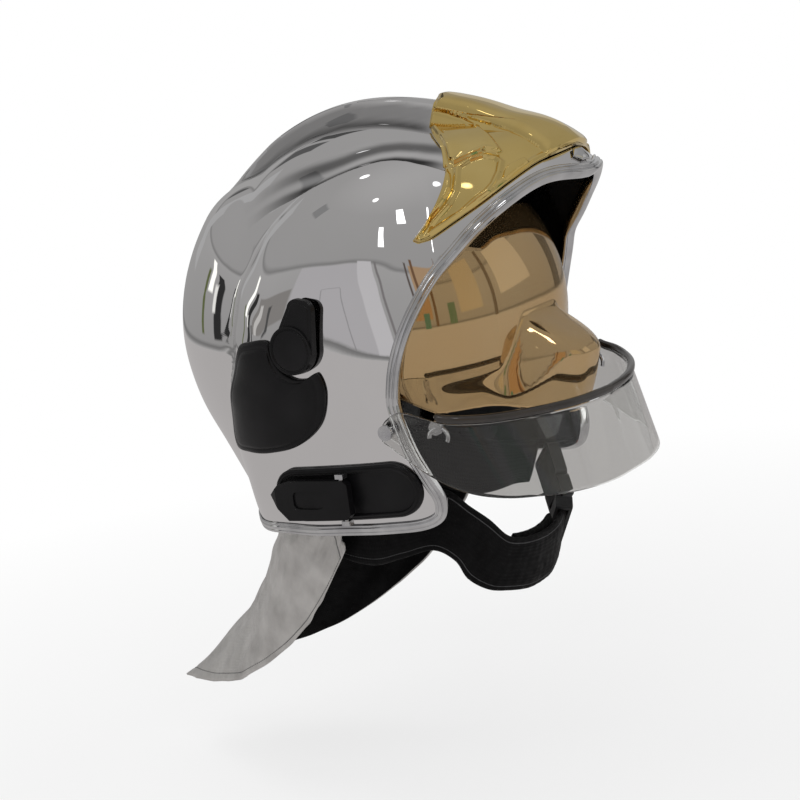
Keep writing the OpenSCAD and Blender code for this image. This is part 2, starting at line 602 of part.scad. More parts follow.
// A piece that lies on the side of the shell: outline in side view, section as [scale, lift]
module on_side(outline, mid, section) {
  rings = [for (q = section) [for (p = outline)
    let (f = mix(mid[0], p[0], q[0]), h = mix(mid[1], p[1], q[0])) [skin_x(f, h) + q[1], -f, h]]];
  loft(rings);
}
function round_outline(p, n) = let (c = curve(concat([p[len(p) - 1]], p, [p[0], p[1]]), n * (len(p) + 2)))
  [for (i = [n : n * (len(p) + 1) - 1]) c[i]];

cover_pts = [[-38, 18], [-24, 22.5], [-9, 22.5], [-5.5, 12], [0, 3], [10, -2.5], [20, -2.5], [28, 0.5], [31.5, -13],
  [24, -33], [4, -47], [-20, -52], [-42, -52.5], [-60, -50], [-61, -32], [-55, -10]];
module side_cover() {
  color("black") on_side(round_outline(cover_pts, 3), [-16, -22],
    [[0.3, 1.9], [0.55, 1.9], [0.8, 1.9], [1, 1.9], [1, cover_t - 0.3], [0.95, cover_t + 0.3],
     [0.8, cover_t + 0.8], [0.55, cover_t + 1.1], [0.3, cover_t + 1.3]]);
}

mask_a = [-4, -81.5];
mask_b = [67.5, -79];
mask_r = 18.5;
function stadium(a, b, r, n) =
  let (t0 = atan2(b[1] - a[1], b[0] - a[0]))
  concat([for (i = [0 : n]) let (t = t0 - 90 + i * 180 / n) b + r * [cos(t), sin(t)]],
    [for (t = [0.75, 0.5, 0.25]) mix(a, b, t) + r * [cos(t0 + 90), sin(t0 + 90)]],
    [for (i = [0 : n]) let (t = t0 + 90 + i * 180 / n) a + r * [cos(t), sin(t)]],
    [for (t = [0.25, 0.5, 0.75]) mix(a, b, t) + r * [cos(t0 - 90), sin(t0 - 90)]]);
module mask_plate() {
  k = 1 - mask_border / mask_r;
  mid = (mask_a + mask_b) / 2;
  outer = stadium(mask_a, mask_b, mask_r, 9);
  inner = stadium(mask_a, mask_b, mask_r - mask_border, 9);
  core = stadium(mix(mask_a, mid, 0.3), mix(mask_b, mid, 0.3), mask_r * 0.35, 9);
  rows = [[core, mask_t - 1], [inner, mask_t - 1], [inner, mask_t + 1.4], [outer, mask_t + 0.6],
    [outer, 0.5], [inner, 0.5], [core, 0.5]];
  color("black") loft([for (q = rows) [for (p = q[0]) [skin_x(p[0], p[1]) + q[1], -p[0], p[1]]]]);
}

// Latch lever: bent to the side of the helmet in plan, pointed at its free end
latch_f = 36;
latch_mid = -82;
function latch_x(f) = skin_x(f, latch_mid + latch_w / 2 + 2) + mask_t + 1.4 + gap;
latch_axis_x = latch_x(latch_f) + 3;
module mask_latch() {
  fs = [for (i = [0 : 8]) latch_f + 5 - (latch_len + 22) * i / 8];
  color("black") difference() {
    intersection() {
      translate([0, 0, latch_mid - latch_w]) linear_extrude(2 * latch_w)
        polygon(concat([for (f = fs) [latch_x(f), -f]], [for (i = [8 : -1 : 0]) [latch_x(fs[i]) + (i == 8 ? 3 : 5.5), -fs[i]]]));
      translate([90, 0, latch_mid]) rotate([90, 0, 90]) linear_extrude(60)
        polygon([[-latch_f - 5, -latch_w / 2 + 3], [-latch_f - 2, -latch_w / 2], [latch_len - latch_f, -latch_w / 2 - 1],
          [latch_len - latch_f + 8, -latch_w / 4], [latch_len + 14 - latch_f, 3], [latch_len - latch_f + 6, latch_w / 2 - 3],
          [latch_len - latch_f - 4, latch_w / 2], [-latch_f - 2, latch_w / 2], [-latch_f - 5, latch_w / 2 - 3]]);
    }
    translate([latch_axis_x, -latch_f, latch_mid - 30]) cylinder(r = 1.5 + run, h = 60, $fn = 32);
    translate([latch_x(0) + 4.2, -10, latch_mid]) rotate([90, 0, 90]) linear_extrude(6)
      polygon([for (t = [0 : 15 : 345]) let (k = pow(pow(abs(cos(t)), 5) + pow(abs(sin(t)), 5), -0.2)) [12 * k * cos(t), 6 * k * sin(t)]]);
  }
}
module latch_pin() {
  top = latch_mid + latch_w / 2 + 2.5;
  low = latch_mid - latch_w / 2 - 2.5;
  foot = skin_x(latch_f, top) + mask_t + 1.4 + 0.1;
  color("silver") union() {
    translate([latch_axis_x, -latch_f, low - 1.5]) cylinder(r = 1.5, h = top - low + 3, $fn = 32);
    for (z = [top - 1.5, low - 1.5]) translate([foot, -latch_f - 3, z]) cube([latch_axis_x - foot + 2, 6, 3]);
  }
}

// Clear shield between its upper and lower edges: [width, forward, up]
lip_h = rim_h - 7 - shield_drop;
lip_f = rim_reach + shield_flare;
shield_up = [[0, rim_reach, rim_h - 7], [25, rim_reach - 2.5, rim_h - 6.7], [48, rim_reach - 8, rim_h - 6], [75, rim_reach - 20, rim_h - 4.5],
  [96, rim_reach - 35, rim_h - 3], [108, rim_reach - 48, rim_h - 1], [114, 111, rim_h + 1], [118, 98, -31], [120.5, 85, -27],
  [121.5, 76, -30], [122, 69, -37]];
shield_low = [[0, lip_f, lip_h], [25, lip_f - 1, lip_h], [50, lip_f - 6, lip_h + 1], [69, lip_f - 14.5, lip_h + 2.5],
  [84, lip_f - 26, lip_h + 4.5], [98, lip_f - 39, lip_h + 7], [106, 127, -84.5], [111, 113, -79], [115.5, 99, -70],
  [119, 86, -59], [122, 70, -45]];
function shield_point(p, d) = let (v = unit([p[0], 60 - p[1]])) [p[0] - d * v[0], -(p[1] + d * v[1]), p[2]];
module face_shield() {
  n = 20;
  up = curve(shield_up, n);
  lo = curve(shield_low, n);
  function half(d) = [for (i = [0 : n]) [for (t = [0, 0.33, 0.67, 1]) shield_point(mix(up[i], lo[i], t), d)]];
  function whole(g) = concat([for (i = [n : -1 : 1]) [for (p = g[i]) flip(p)]], g);
  color("lightcyan") difference() {
    slab(whole(half(shield_t)), whole(half(0)));
    for (s = [-1, 1]) both(s) rod(hinge_f, hinge_h, half_w - 8, 20, pin_r + run);
  }
}

module shield_rim() {
  n = 14;
  up = curve(shield_up, 22);
  path = concat([for (i = [n : -1 : 1]) flip(shield_point(up[i], shield_t / 2))],
    [for (i = [0 : n]) shield_point(up[i], shield_t / 2)]);
  m = len(path);
  rings = [for (i = [0 : m - 1]) let (t = unit(path[min(i + 1, m - 1)] - path[max(i - 1, 0)]), a = unit(cross([0, 0, 1], t)))
    [for (k = [0 : 7]) path[i] + rim_r * (a * cos(k * 45) + [0, 0, 1] * (sin(k * 45) + 1.1))]];
  color("dimgray") loft(rings);
}

clip_f = 104;
clip_x = 108;
module shield_clip() {
  color("silver") translate([clip_x + 1, -clip_f, rim_h - 2]) union() {
    rotate([0, 90, 0]) cylinder(r = 4.5, h = 3, $fn = 40);
    translate([1.5, -1, -6]) rotate([90, 0, 75]) rotate_extrude(angle = 210, $fn = 40) translate([6, 0]) circle(r = 1.4, $fn = 16);
  }
}
module shield_pin() {
  x0 = skin_x(hinge_f, hinge_h) - shell_wall;
  color("silver") union() {
    rod(hinge_f, hinge_h, x0 - 6.3, 2.5, pin_r + 2.4);
    rod(hinge_f, hinge_h, x0 - 5, 128 - x0, pin_r);
    rod(hinge_f, hinge_h, 122.3, 2, pin_r + 2.5);
  }
}

// Curtain: hangs from inside the shell's rear hem and flares back to a rounded end
curtain_end = [[90, 8, -122], [87, -22, -163], [80, -49, -190], [74, -80, -213], [60, -127, -238],
  [43, -163, -249], [20, -203, -259], [0, 50 - curtain_len * 1.5, -264]];
hem_line = [[100, 12], [101, -10], [95, -36], [82, -54], [66, -67], [46, -81], [22, -91], [0, -94.5]];
function curtain_mid(s, t) =
  let (w = (1 - abs(s)) * (len(curtain_end) - 1), h = curve_at(hem_line, w), e = curve_at(curtain_end, w),
       top = [h[0], h[1], -100], c = [h[0] * 0.99, h[1] - 2, -100 - 0.32 * norm(e - top)],
       p = top * (1 - t) * (1 - t) + c * 2 * t * (1 - t) + e * t * t)
  [s < 0 ? -p[0] : p[0], -p[1], p[2] + 109 - hem_depth];
function curtain_at(s, t, d) =
  let (e = 0.01, t0 = max(t - e, 0), u = curtain_mid(s + e, t) - curtain_mid(s - e, t), v = curtain_mid(s, t + e) - curtain_mid(s, t0),
       fold = 2.5 * exp(-pow((t - 0.24) / 0.07, 2)) * ease(0.9, 0.6, abs(s)) + 1.5 * sin(900 * s) * ease(0.3, 1, t))
  curtain_mid(s, t) + unit(cross(u, v)) * (-d - fold);
module curtain(d0, d1, hi) {
  n = 28;
  m = 8;
  function grid(d) = [for (i = [0 : n]) [for (j = [0 : m]) curtain_at(mix(-0.985, 0.985, i / n), mix(0, hi, j / m), d)]];
  slab(grid(d0), grid(d1));
}
module neck_curtain() { color("lightgray") curtain(0, cloth_t, 1); }
module curtain_lining() { color("black") curtain(cloth_t + seat, cloth_t + seat + lining_t, 0.985); }
module curtain_studs() {
  color("silver") for (s = [-0.85, -0.6, -0.2, 0.2, 0.6, 0.85])
    let (p = curtain_at(s, 0.065, -0.85), q = curtain_at(s, 0.065, -1.7))
    translate(q) rotate([0, 0, atan2(p[1] - q[1], p[0] - q[0])]) rotate([0, 90, 0]) cylinder(r = 5, h = norm(p - q), $fn = 32);
}

// Chin strap between its front and rear edges, rear end first: [width, forward, up]
strap_front = [[72, -50, -84], [79, -5, -89], [80, 38, -90], [77, 66, -88], [70, 80, -91], [62, 90, -104],
  [52, 97.5, -116], [40, 102, -130], [28, 105, -135], [14, 108, -137], [0, 108.5, -138]];
strap_rear = [[71, -50, -112], [79, -12, -134], [80, 18, -141], [79, 42, -136], [75, 65, -131], [68, 76, -140],
  [60, 79, -155], [48, 86, -166], [34, 93, -171], [16, 97.5, -175], [0, 98, -176]];
// u runs from the right rear (-1) over the chin (0) to the left rear (1)
function strap_flat(u, v) =
  let (i = max(0, (1 - abs(u)) * 10), a = curve_at(strap_front, i), b = curve_at(strap_rear, i),
       full = norm(a - b), w = mix(full, strap_w, ease(0.1, 0.3, u) * ease(0.95, 0.7, u)), p = (a + b) / 2 + (a - b) / full * v * w / 2)
  [u < 0 ? -p[0] : p[0], -p[1], p[2]];
function strap_normal(u, v) =
  let (e = 0.012, b = strap_flat(u, v + e) - strap_flat(u, v - e))
  unit(cross(strap_flat(u + e, v) - strap_flat(u - e, v), b));
function strap_point(u, v, d) = strap_flat(u, v) + strap_normal(u, v) * d;
module strap(u0, u1, n, t0, off) {
  rings = [for (i = [0 : n]) let (u = mix(u0, u1, i / n)) [for (k = [[-1, -0.3], [-0.85, -0.9], [0, -1], [0.85, -0.9],
    [1, -0.3], [1, 0.3], [0.85, 0.9], [0, 1], [-0.85, 0.9], [-1, 0.3]]) strap_point(u, k[0], off + k[1] * t0 / 2)]];
  loft(rings);
}
buckle_u = 0.5;
// Local frame on the strap: X along it towards the rear, Y across, Z outwards
module on_strap(u, off = 0) {
  p = strap_point(u, 0, off);
  x = unit(strap_flat(u + 0.02, 0) - strap_flat(u - 0.02, 0));
  z = strap_normal(u, 0);
  y = cross(z, x);
  multmatrix([[x[0], y[0], z[0], p[0]], [x[1], y[1], z[1], p[1]], [x[2], y[2], z[2], p[2]], [0, 0, 0, 1]]) children();
}
module chin_strap_right() { color("black") strap(-1, buckle_u - 0.145, 30, strap_t, 0); }
module chin_strap_left() { color("black") strap(buckle_u + 0.16, 1, 10, strap_t, 0); }
module chin_cup() { color("dimgray") strap(-0.2, 0.2, 10, strap_t + 2, -strap_t - 1 - seat); }

// Buckle: a hollow socket, a plug with a tongue, and a push button
module block(x0, x1, w, z0, z1, r = 3) {
  translate([x0 + r, -w / 2 + r, z0]) linear_extrude(z1 - z0) offset(r, $fn = 32) square([x1 - x0 - 2 * r, w - 2 * r]);
}
module buckle_socket() {
  color("black") on_strap(buckle_u, 1) difference() {
    block(-2, 24, buckle_w, -4.5, 4.5);
    translate([-3, -buckle_w / 2 + 4, -2]) cube([19, buckle_w - 8, 4]);
    translate([2, -6, 0]) cube([12, 12, 6]);
    translate([18.5, -buckle_w / 2 + 3, -6]) cube([3, buckle_w - 6, 12]);
  }
}
module buckle_plug() {
  color("black") on_strap(buckle_u, 1) difference() {
    union() {
      block(-19, -2 - seat, buckle_w, -4.5, 4.5);
      translate([-8, -buckle_w / 2 + 4 + gap, -2 + seat]) cube([22, buckle_w - 8 - 2 * gap, 4 - 2 * seat]);
    }
    translate([2, -7, -1]) cube([13, 14, 4]);
    translate([-16, -buckle_w / 2 + 3, -6]) cube([3, buckle_w - 6, 12]);
  }
}
button_depth = 1.5;
module buckle_button() {
  color("firebrick") on_strap(buckle_u, 1) translate([2 + gap, -6 + gap, 0]) union() {
    translate([0, 0, 2 + gap + button_depth - 1]) cube([12 - 2 * gap, 12 - 2 * gap, 3.4]);
  }
}
module strap_slider() {
  color("black") on_strap(0.33) difference() {
    block(-5, 5, strap_w + 10, -strap_t / 2 - 3, strap_t / 2 + 3, 2);
    translate([-6, -strap_w / 2 - 1, -strap_t / 2 - 0.8]) cube([12, strap_w + 2, strap_t + 1.6]);
  }
}
module strap_anchor() {
  x0 = 73.6 + strap_t / 2 + seat;
  color("silver") rod(-42, -90, x0, skin_x(-48, -95) - shell_wall - 0.7 - x0, 5);
}

outer_shell();
edge_trim();
front_plate();
impact_liner();
crown_pad();
crown_straps();
headband();
brow_pad();
nape_pad();
nape_housing();
ratchet_knob();
ratchet_pinion();
rack(1);  // rack_left
rack(-1);  // rack_right
both(1) cheek_pad();  // cheek_pad_left
both(-1) cheek_pad();  // cheek_pad_right
visor_lens();
both(1) visor_arm();  // visor_arm_left
both(-1) visor_arm();  // visor_arm_right
both(1) pivot_bolt();  // pivot_bolt_left
both(-1) pivot_bolt();  // pivot_bolt_right
both(1) pivot_bush();  // pivot_bush_left
both(-1) pivot_bush();  // pivot_bush_right
both(1) visor_knob();  // visor_knob_left
both(-1) visor_knob();  // visor_knob_right
both(1) side_cover();  // side_cover_left
both(-1) side_cover();  // side_cover_right
both(1) mask_plate();  // mask_plate_left
both(-1) mask_plate();  // mask_plate_right
both(1) mask_latch();  // mask_latch_left
both(-1) mask_latch();  // mask_latch_right
both(1) latch_pin();  // latch_pin_left
both(-1) latch_pin();  // latch_pin_right
face_shield();
shield_rim();
both(1) shield_clip();  // shield_clip_left
both(-1) shield_clip();  // shield_clip_right
both(1) shield_pin();  // shield_pin_left
both(-1) shield_pin();  // shield_pin_right
neck_curtain();
curtain_lining();
curtain_studs();
chin_strap_right();
chin_strap_left();
chin_cup();
both(1) strap_anchor();  // strap_anchor_left
both(-1) strap_anchor();  // strap_anchor_right
buckle_socket();
buckle_plug();
buckle_button();
strap_slider();
strap_hangers();
both(1) pad_post();  // pad_post_left
both(-1) pad_post();  // pad_post_right
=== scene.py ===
import bpy
import bmesh
import numpy as np
from math import atan2, cos, pi, radians, sin
from mathutils import Matrix, Vector


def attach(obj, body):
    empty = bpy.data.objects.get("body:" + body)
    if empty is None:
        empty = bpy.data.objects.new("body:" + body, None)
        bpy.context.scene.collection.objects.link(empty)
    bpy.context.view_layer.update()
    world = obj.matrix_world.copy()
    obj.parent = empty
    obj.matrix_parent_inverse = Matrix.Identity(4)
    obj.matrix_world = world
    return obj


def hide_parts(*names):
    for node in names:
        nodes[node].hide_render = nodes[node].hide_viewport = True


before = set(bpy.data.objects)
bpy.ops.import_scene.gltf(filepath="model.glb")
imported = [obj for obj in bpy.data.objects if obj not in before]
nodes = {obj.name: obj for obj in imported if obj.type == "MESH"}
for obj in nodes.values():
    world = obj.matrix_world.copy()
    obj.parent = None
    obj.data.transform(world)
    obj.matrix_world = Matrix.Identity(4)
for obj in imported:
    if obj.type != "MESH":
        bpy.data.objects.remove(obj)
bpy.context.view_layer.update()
scene = bpy.context.scene
scene.view_settings.view_transform = "Standard"
print("frame loaded:", len(nodes), "nodes")

# camera, at the photograph's angle; the image is 800 pixels wide and high
photoCamera = {"azimuth": -56.0, "elevation": 10.5, "roll": -8.4, "distance": 1.3, "lens": 83.65,
               "pixelsPerMetre": 1430.0, "originPixel": (384.0, 337.0), "centrePixel": 400.0}


def makeCamera(s):
    az, el, roll = radians(s["azimuth"]), radians(s["elevation"]), radians(s["roll"])
    back = Vector((sin(az) * cos(el), -cos(az) * cos(el), sin(el)))
    flat = Vector((cos(az), sin(az), 0.0))
    high = back.cross(flat)
    right = flat * cos(roll) + high * sin(roll)
    up = high * cos(roll) - flat * sin(roll)
    x, y = s["originPixel"]
    centre = s["centrePixel"]
    place = (right * (centre - x) + up * (y - centre)) / s["pixelsPerMetre"] + back * s["distance"]
    data = bpy.data.cameras.new("photoCamera")
    data.lens = s["lens"]
    data.sensor_width = 36.0
    data.clip_start = 0.05
    cam = bpy.data.objects.new("photoCamera", data)
    cam.matrix_world = Matrix(((right.x, up.x, back.x, place.x), (right.y, up.y, back.y, place.y),
                               (right.z, up.z, back.z, place.z), (0, 0, 0, 1)))
    scene.collection.objects.link(cam)
    scene.camera = cam


makeCamera(photoCamera)
print("camera placed")

# finishes: one dictionary each, read by makeFinish; metal is 0 where it isn't named
finishes = {
    # mirrorChrome's hollow colour is painted shade: it darkens the shell's grooves in place of their dark
    # reflections
    "mirrorChrome": {"color": (0.84, 0.83, 0.835), "shade": (0.80, 0.79, 0.79), "patch": 9, "metal": 1.0,
                     "rough": (0.008, 0.035), "smudge": 26, "hollow": (0.035, 0.034, 0.034),
                     "bumps": [("noise", 55, 0.00001)]},
    "trimChrome": {"color": (0.70, 0.70, 0.705), "shade": (0.52, 0.52, 0.53), "patch": 60, "metal": 1.0,
                   "rough": (0.03, 0.12), "smudge": 120, "bumps": [("noise", 300, 0.00002)]},
    "giltMirror": {"color": (0.86, 0.655, 0.26), "shade": (0.80, 0.59, 0.21), "patch": 30, "metal": 1.0,
                   "rough": (0.02, 0.07), "smudge": 60, "bumps": [("noise", 120, 0.00002)]},
    "blackLacquer": {"color": (0.006, 0.006, 0.0065), "shade": (0.012, 0.012, 0.012), "patch": 20,
                     "rough": (0.10, 0.22), "smudge": 40, "shine": 0.3, "bumps": [("noise", 90, 0.00004)]},
    "giltLens": {"color": (0.80, 0.57, 0.30), "shade": (0.74, 0.50, 0.24), "patch": 7, "metal": 0.95,
                 "rough": (0.008, 0.03), "smudge": 30, "alpha": 0.80, "bumps": [("noise", 30, 0.00001)]},
    "clearSheet": {"color": (0.80, 0.80, 0.785), "shade": (0.77, 0.77, 0.75), "patch": 8,
                   "rough": (0.0, 0.015), "smudge": 24, "through": 1.0, "ior": 1.45,
                   "bumps": [("noise", 20, 0.00001)]},
    "rimRubber": {"color": (0.030, 0.024, 0.020), "shade": (0.018, 0.015, 0.013), "patch": 50,
                  "rough": (0.10, 0.2), "smudge": 90, "shine": 0.7, "bumps": [("noise", 500, 0.00003)]},
    "satinBlack": {"color": (0.0045, 0.0043, 0.0048), "shade": (0.0085, 0.008, 0.0088), "patch": 35,
                   "rough": (0.30, 0.44), "smudge": 55, "shine": 0.22,
                   "bumps": [("voronoi", 2600, 0.00003), ("noise", 500, 0.00003)]},
    "mattBlack": {"color": (0.008, 0.008, 0.0085), "shade": (0.015, 0.015, 0.016), "patch": 45,
                  "rough": (0.45, 0.62), "smudge": 80, "shine": 0.3,
                  "bumps": [("voronoi", 1800, 0.00006), ("noise", 300, 0.00005)]},
    "greyPlastic": {"color": (0.10, 0.10, 0.11), "shade": (0.14, 0.14, 0.15), "patch": 60,
                    "rough": (0.38, 0.5), "smudge": 100, "bumps": [("noise", 700, 0.00004)]},
    "redPlastic": {"color": (0.45, 0.02, 0.015), "shade": (0.32, 0.015, 0.012), "patch": 80,
                   "rough": (0.25, 0.38), "smudge": 140, "bumps": [("noise", 900, 0.00003)]},
    "brightSteel": {"color": (0.62, 0.62, 0.63), "shade": (0.48, 0.48, 0.50), "patch": 120, "metal": 1.0,
                    "rough": (0.16, 0.32), "smudge": 400, "bumps": [("noise", 1500, 0.00002)]},
    "beadFoam": {"color": (0.010, 0.010, 0.011), "shade": (0.022, 0.022, 0.024), "patch": 260,
                 "rough": (0.7, 0.9), "smudge": 260, "shine": 0.3,
                 "bumps": [("voronoi", 300, 0.0005), ("noise", 1400, 0.0001)]},
    "padCloth": {"color": (0.010, 0.010, 0.011), "shade": (0.020, 0.020, 0.022), "patch": 70,
                 "rough": (0.75, 0.95), "smudge": 200, "sheen": 0.15, "shine": 0.2,
                 "bumps": [("knit", 900, 0.0002), ("noise", 60, 0.0006)]},
    "blackWebbing": {"color": (0.0035, 0.0035, 0.0038), "shade": (0.0075, 0.0075, 0.008), "patch": 90,
                     "rough": (0.6, 0.82), "smudge": 300, "sheen": 0.05, "shine": 0.14, "weave": (1100, 1100),
                     "weaveDeep": 0.00025, "bumps": [("noise", 90, 0.0004)]},
    "blackCloth": {"color": (0.0018, 0.0017, 0.0019), "shade": (0.0042, 0.004, 0.0044), "patch": 40,
                   "rough": (0.55, 0.8), "smudge": 200, "sheen": 0.02, "shine": 0.10, "weave": (1500, 1500),
                   "weaveDeep": 0.00018, "bumps": [("noise", 70, 0.0007)]},
    "aluminisedCloth": {"color": (0.66, 0.645, 0.625), "shade": (0.50, 0.485, 0.47), "patch": 45, "metal": 0.72,
                        "rough": (0.30, 0.48), "smudge": 160, "weave": (1250, 1250), "weaveDeep": 0.00010,
                        "bumps": [("noise", 60, 0.0009), ("noise", 420, 0.00025)]},
    "brownLeather": {"color": (0.115, 0.055, 0.028), "shade": (0.065, 0.030, 0.016), "patch": 60,
                     "rough": (0.42, 0.6), "smudge": 120,
                     "bumps": [("voronoi", 850, 0.00015), ("noise", 250, 0.0002)]},
    "greyThread": {"color": (0.20, 0.195, 0.19), "shade": (0.12, 0.12, 0.12), "patch": 300,
                   "rough": (0.6, 0.75), "smudge": 500, "bumps": [("noise", 3000, 0.00005)]},
    "blackThread": {"color": (0.03, 0.03, 0.032), "shade": (0.05, 0.05, 0.052), "patch": 300,
                    "rough": (0.55, 0.7), "smudge": 500, "bumps": [("noise", 3000, 0.00005)]},
}
made = {}


def mixColors(tree, share, first, second):
    # each colour is a fixed one or another node's output
    node = tree.nodes.new("ShaderNodeMix")
    node.data_type = "RGBA"
    tree.links.new(share, node.inputs[0])
    for slot, color in ((6, first), (7, second)):
        if isinstance(color, tuple):
            node.inputs[slot].default_value = (*color, 1)
        else:
            tree.links.new(color, node.inputs[slot])
    return node.outputs[2]


def mapRange(tree, source, start, end, low=0.0, high=1.0):
    node = tree.nodes.new("ShaderNodeMapRange")
    node.inputs["From Min"].default_value, node.inputs["From Max"].default_value = start, end
    node.inputs["To Min"].default_value, node.inputs["To Max"].default_value = low, high
    tree.links.new(source, node.inputs["Value"])
    return node.outputs["Result"]


def makeFinish(name):
    if name in made:
        return made[name]
    s = finishes[name]
    mat = bpy.data.materials.new(name)
    mat.use_nodes = True
    tree = mat.node_tree
    shader = tree.nodes["Principled BSDF"]
    coords = tree.nodes.new("ShaderNodeTexCoord")

    def noise(scale, detail=4.0):
        node = tree.nodes.new("ShaderNodeTexNoise")
        node.inputs["Scale"].default_value = scale
        node.inputs["Detail"].default_value = detail
        tree.links.new(coords.outputs["Object"], node.inputs["Vector"])
        return node

    # colour drifts between the two shades
    color = mixColors(tree, mapRange(tree, noise(s["patch"]).outputs[0], 0.35, 0.7), s["color"], s["shade"])
    # painted shade: the chrome's colour is mixed toward a dark grey where the shell's attribute says groove
    if "hollow" in s:     # grooves stay darker than the open surface
        groove = tree.nodes.new("ShaderNodeAttribute")
        groove.attribute_name = "hollow"
        color = mixColors(tree, groove.outputs["Fac"], color, s["hollow"])
    tree.links.new(color, shader.inputs["Base Color"])
    # roughness from handling marks
    marks = mapRange(tree, noise(s["smudge"], 6.0).outputs[0], 0.42, 0.72, *s["rough"])
    tree.links.new(marks, shader.inputs["Roughness"])
    shader.inputs["Metallic"].default_value = s.get("metal", 0.0)
    shader.inputs["Sheen Weight"].default_value = s.get("sheen", 0.0)
    shader.inputs["Transmission Weight"].default_value = s.get("through", 0.0)
    shader.inputs["IOR"].default_value = s.get("ior", 1.5)
    shader.inputs["Specular IOR Level"].default_value = s.get("shine", 0.5)
    shader.inputs["Alpha"].default_value = s.get("alpha", 1.0)

    last = None
    for kind, scale, height in s["bumps"]:
        if kind == "voronoi":
            field = tree.nodes.new("ShaderNodeTexVoronoi")
            field.inputs["Scale"].default_value = scale
            tree.links.new(coords.outputs["Object"], field.inputs["Vector"])
        elif kind == "knit":
            field = tree.nodes.new("ShaderNodeTexMagic")
            field.turbulence_depth = 2
            field.inputs["Scale"].default_value = scale
            tree.links.new(coords.outputs["Object"], field.inputs["Vector"])
        else:
            field = noise(scale)
        last = addBump(tree, field.outputs[0 if kind == "voronoi" else "Fac"], height, last)
    if "weave" in s:      # over and under threads, in the piece's own UV
        waves = []
        for axis, count in zip("XY", s["weave"]):
            wave = tree.nodes.new("ShaderNodeTexWave")
            wave.bands_direction = axis
            wave.inputs["Scale"].default_value = count / 10
            tree.links.new(coords.outputs["UV"], wave.inputs["Vector"])
            waves.append(wave)
        cross = tree.nodes.new("ShaderNodeMath")
        cross.operation = "MULTIPLY"
        for i in (0, 1):
            tree.links.new(waves[i].outputs["Fac"], cross.inputs[i])
        last = addBump(tree, cross.outputs[0], s["weaveDeep"], last)
    tree.links.new(last.outputs["Normal"], shader.inputs["Normal"])
    made[name] = mat
    return mat


def addBump(tree, source, height, before):
    bump = tree.nodes.new("ShaderNodeBump")
    bump.inputs["Distance"].default_value = height
    bump.inputs["Strength"].default_value = 1.0
    tree.links.new(source, bump.inputs["Height"])
    if before:
        tree.links.new(before.outputs["Normal"], bump.inputs["Normal"])
    return bump


# the helmet's own forms, in millimetres, the same as in the CAD part
shell = {"halfW": 121.0, "wall": 4.0, "browReach": 209.0, "crestTop": 165.0, "rearReach": 153.5,
         "hemDepth": 109.0, "ridgeRise": 13.5, "stripHalf": 10.0, "flankWide": 12.0, "swell": 4.5,
         "sideFull": 2.8, "crownFull": 2.2, "browFull": 3.0, "browHalf": 102.0,
         "tipAngle": 29.7, "napeAngle": 226.5}
halfW, wall = shell["halfW"], shell["wall"]
brow, crest, rear, hem = shell["browReach"], shell["crestTop"], shell["rearReach"], shell["hemDepth"]
sideTab = np.array([[-90, 195], [-60, 195], [-35, 178], [-5, 152], [25, 149], [45, 158], [60, 149], [76, 131],
                    [96, 111], [122, 95], [145, 80], [173, 74], [202, 90], [226, 118], [250, 170]], float)
midTab = np.array([[-90, 120], [0, brow - 21], [16, brow - 5], [28, brow], [32, brow - 3.5], [36, brow - 10],
                   [51.5, 182.5], [65.5, 173], [75.7, crest + 3], [85, crest], [95, crest - 3],
                   [109, crest - 6], [122, crest - 9], [131, 154], [145, rear + 0.5], [160, rear + 0.5],
                   [173, rear - 0.5], [185, 149], [195, 145], [208, 141], [220, 144], [232, 155], [245, 170],
                   [265, 176]], float)
bandTab = np.array([[-90, 108], [25, 114], [52, 114], [83, 109], [113, 105], [143, 104], [180, 104],
                    [210, 103], [240, 104], [265, 106]], float)
edgePts = np.array([[176.5, 101.8], [164, 103], [138, 83], [112, 57], [95, 29], [85, 6], [80, -13], [80, -30],
                    [85, -52], [92, -74], [96, -88], [93, 9 - hem], [82, 3 - hem], [55, 1 - hem], [15, -hem],
                    [-25, -hem], [-60, -hem], [-84, 1 - hem], [-97, 2 - hem]], float)


def ease(a, b, x):
    t = np.clip((x - a) / (b - a), 0, 1)
    return t * t * (3 - 2 * t)


def mix(a, b, t):
    return a + (b - a) * t


def over(a, b, k):
    return (a + b + np.sqrt((a - b) ** 2 + k * k)) / 2


def oval(x, w, n):
    return np.maximum(1 - (np.minimum(np.abs(x), 0.9999 * w) / w) ** n, 1e-9) ** (1 / n)


def unit(v):
    return v / np.maximum(np.linalg.norm(v, axis=-1, keepdims=True), 1e-12)


def sind(a):
    return np.sin(np.radians(a))


def cosd(a):
    return np.cos(np.radians(a))


def stack(*parts):
    return np.stack(np.broadcast_arrays(*parts), -1)


def mirrored(w):
    # turns the points of the right half over the middle plane
    return stack(np.where(w < 0, -1.0, 1.0), 1.0, 1.0)


def sideAngle(f, h):
    a = np.degrees(np.arctan2(h, f))
    return np.where(a < -90, a + 360, a)


def ringMean(a, table, k):
    w = np.exp(k * (cosd(np.asarray(a)[..., None] - table[:, 0]) - 1))
    return (w * table[:, 1]).sum(-1) / w.sum(-1)


# the disc map spreads the dome flat: 0 at the ears, 1 on the middle plane; its scale is in millimetres
discScale = 235.0
# the hollow between the crest and the side, along a line of points in the disc map, in thousandths
channel = {"deep": 3.0, "wall": 3.4, "broad": 19.0,
           "line": [(470, 470), (456, 492), (449, 501), (409, 538), (363, 573), (320, 588), (280, 590),
                    (229, 580), (175, 564), (130, 556), (81, 551), (15, 548), (-60, 540), (-139, 527),
                    (-214, 501), (-262, 458)]}


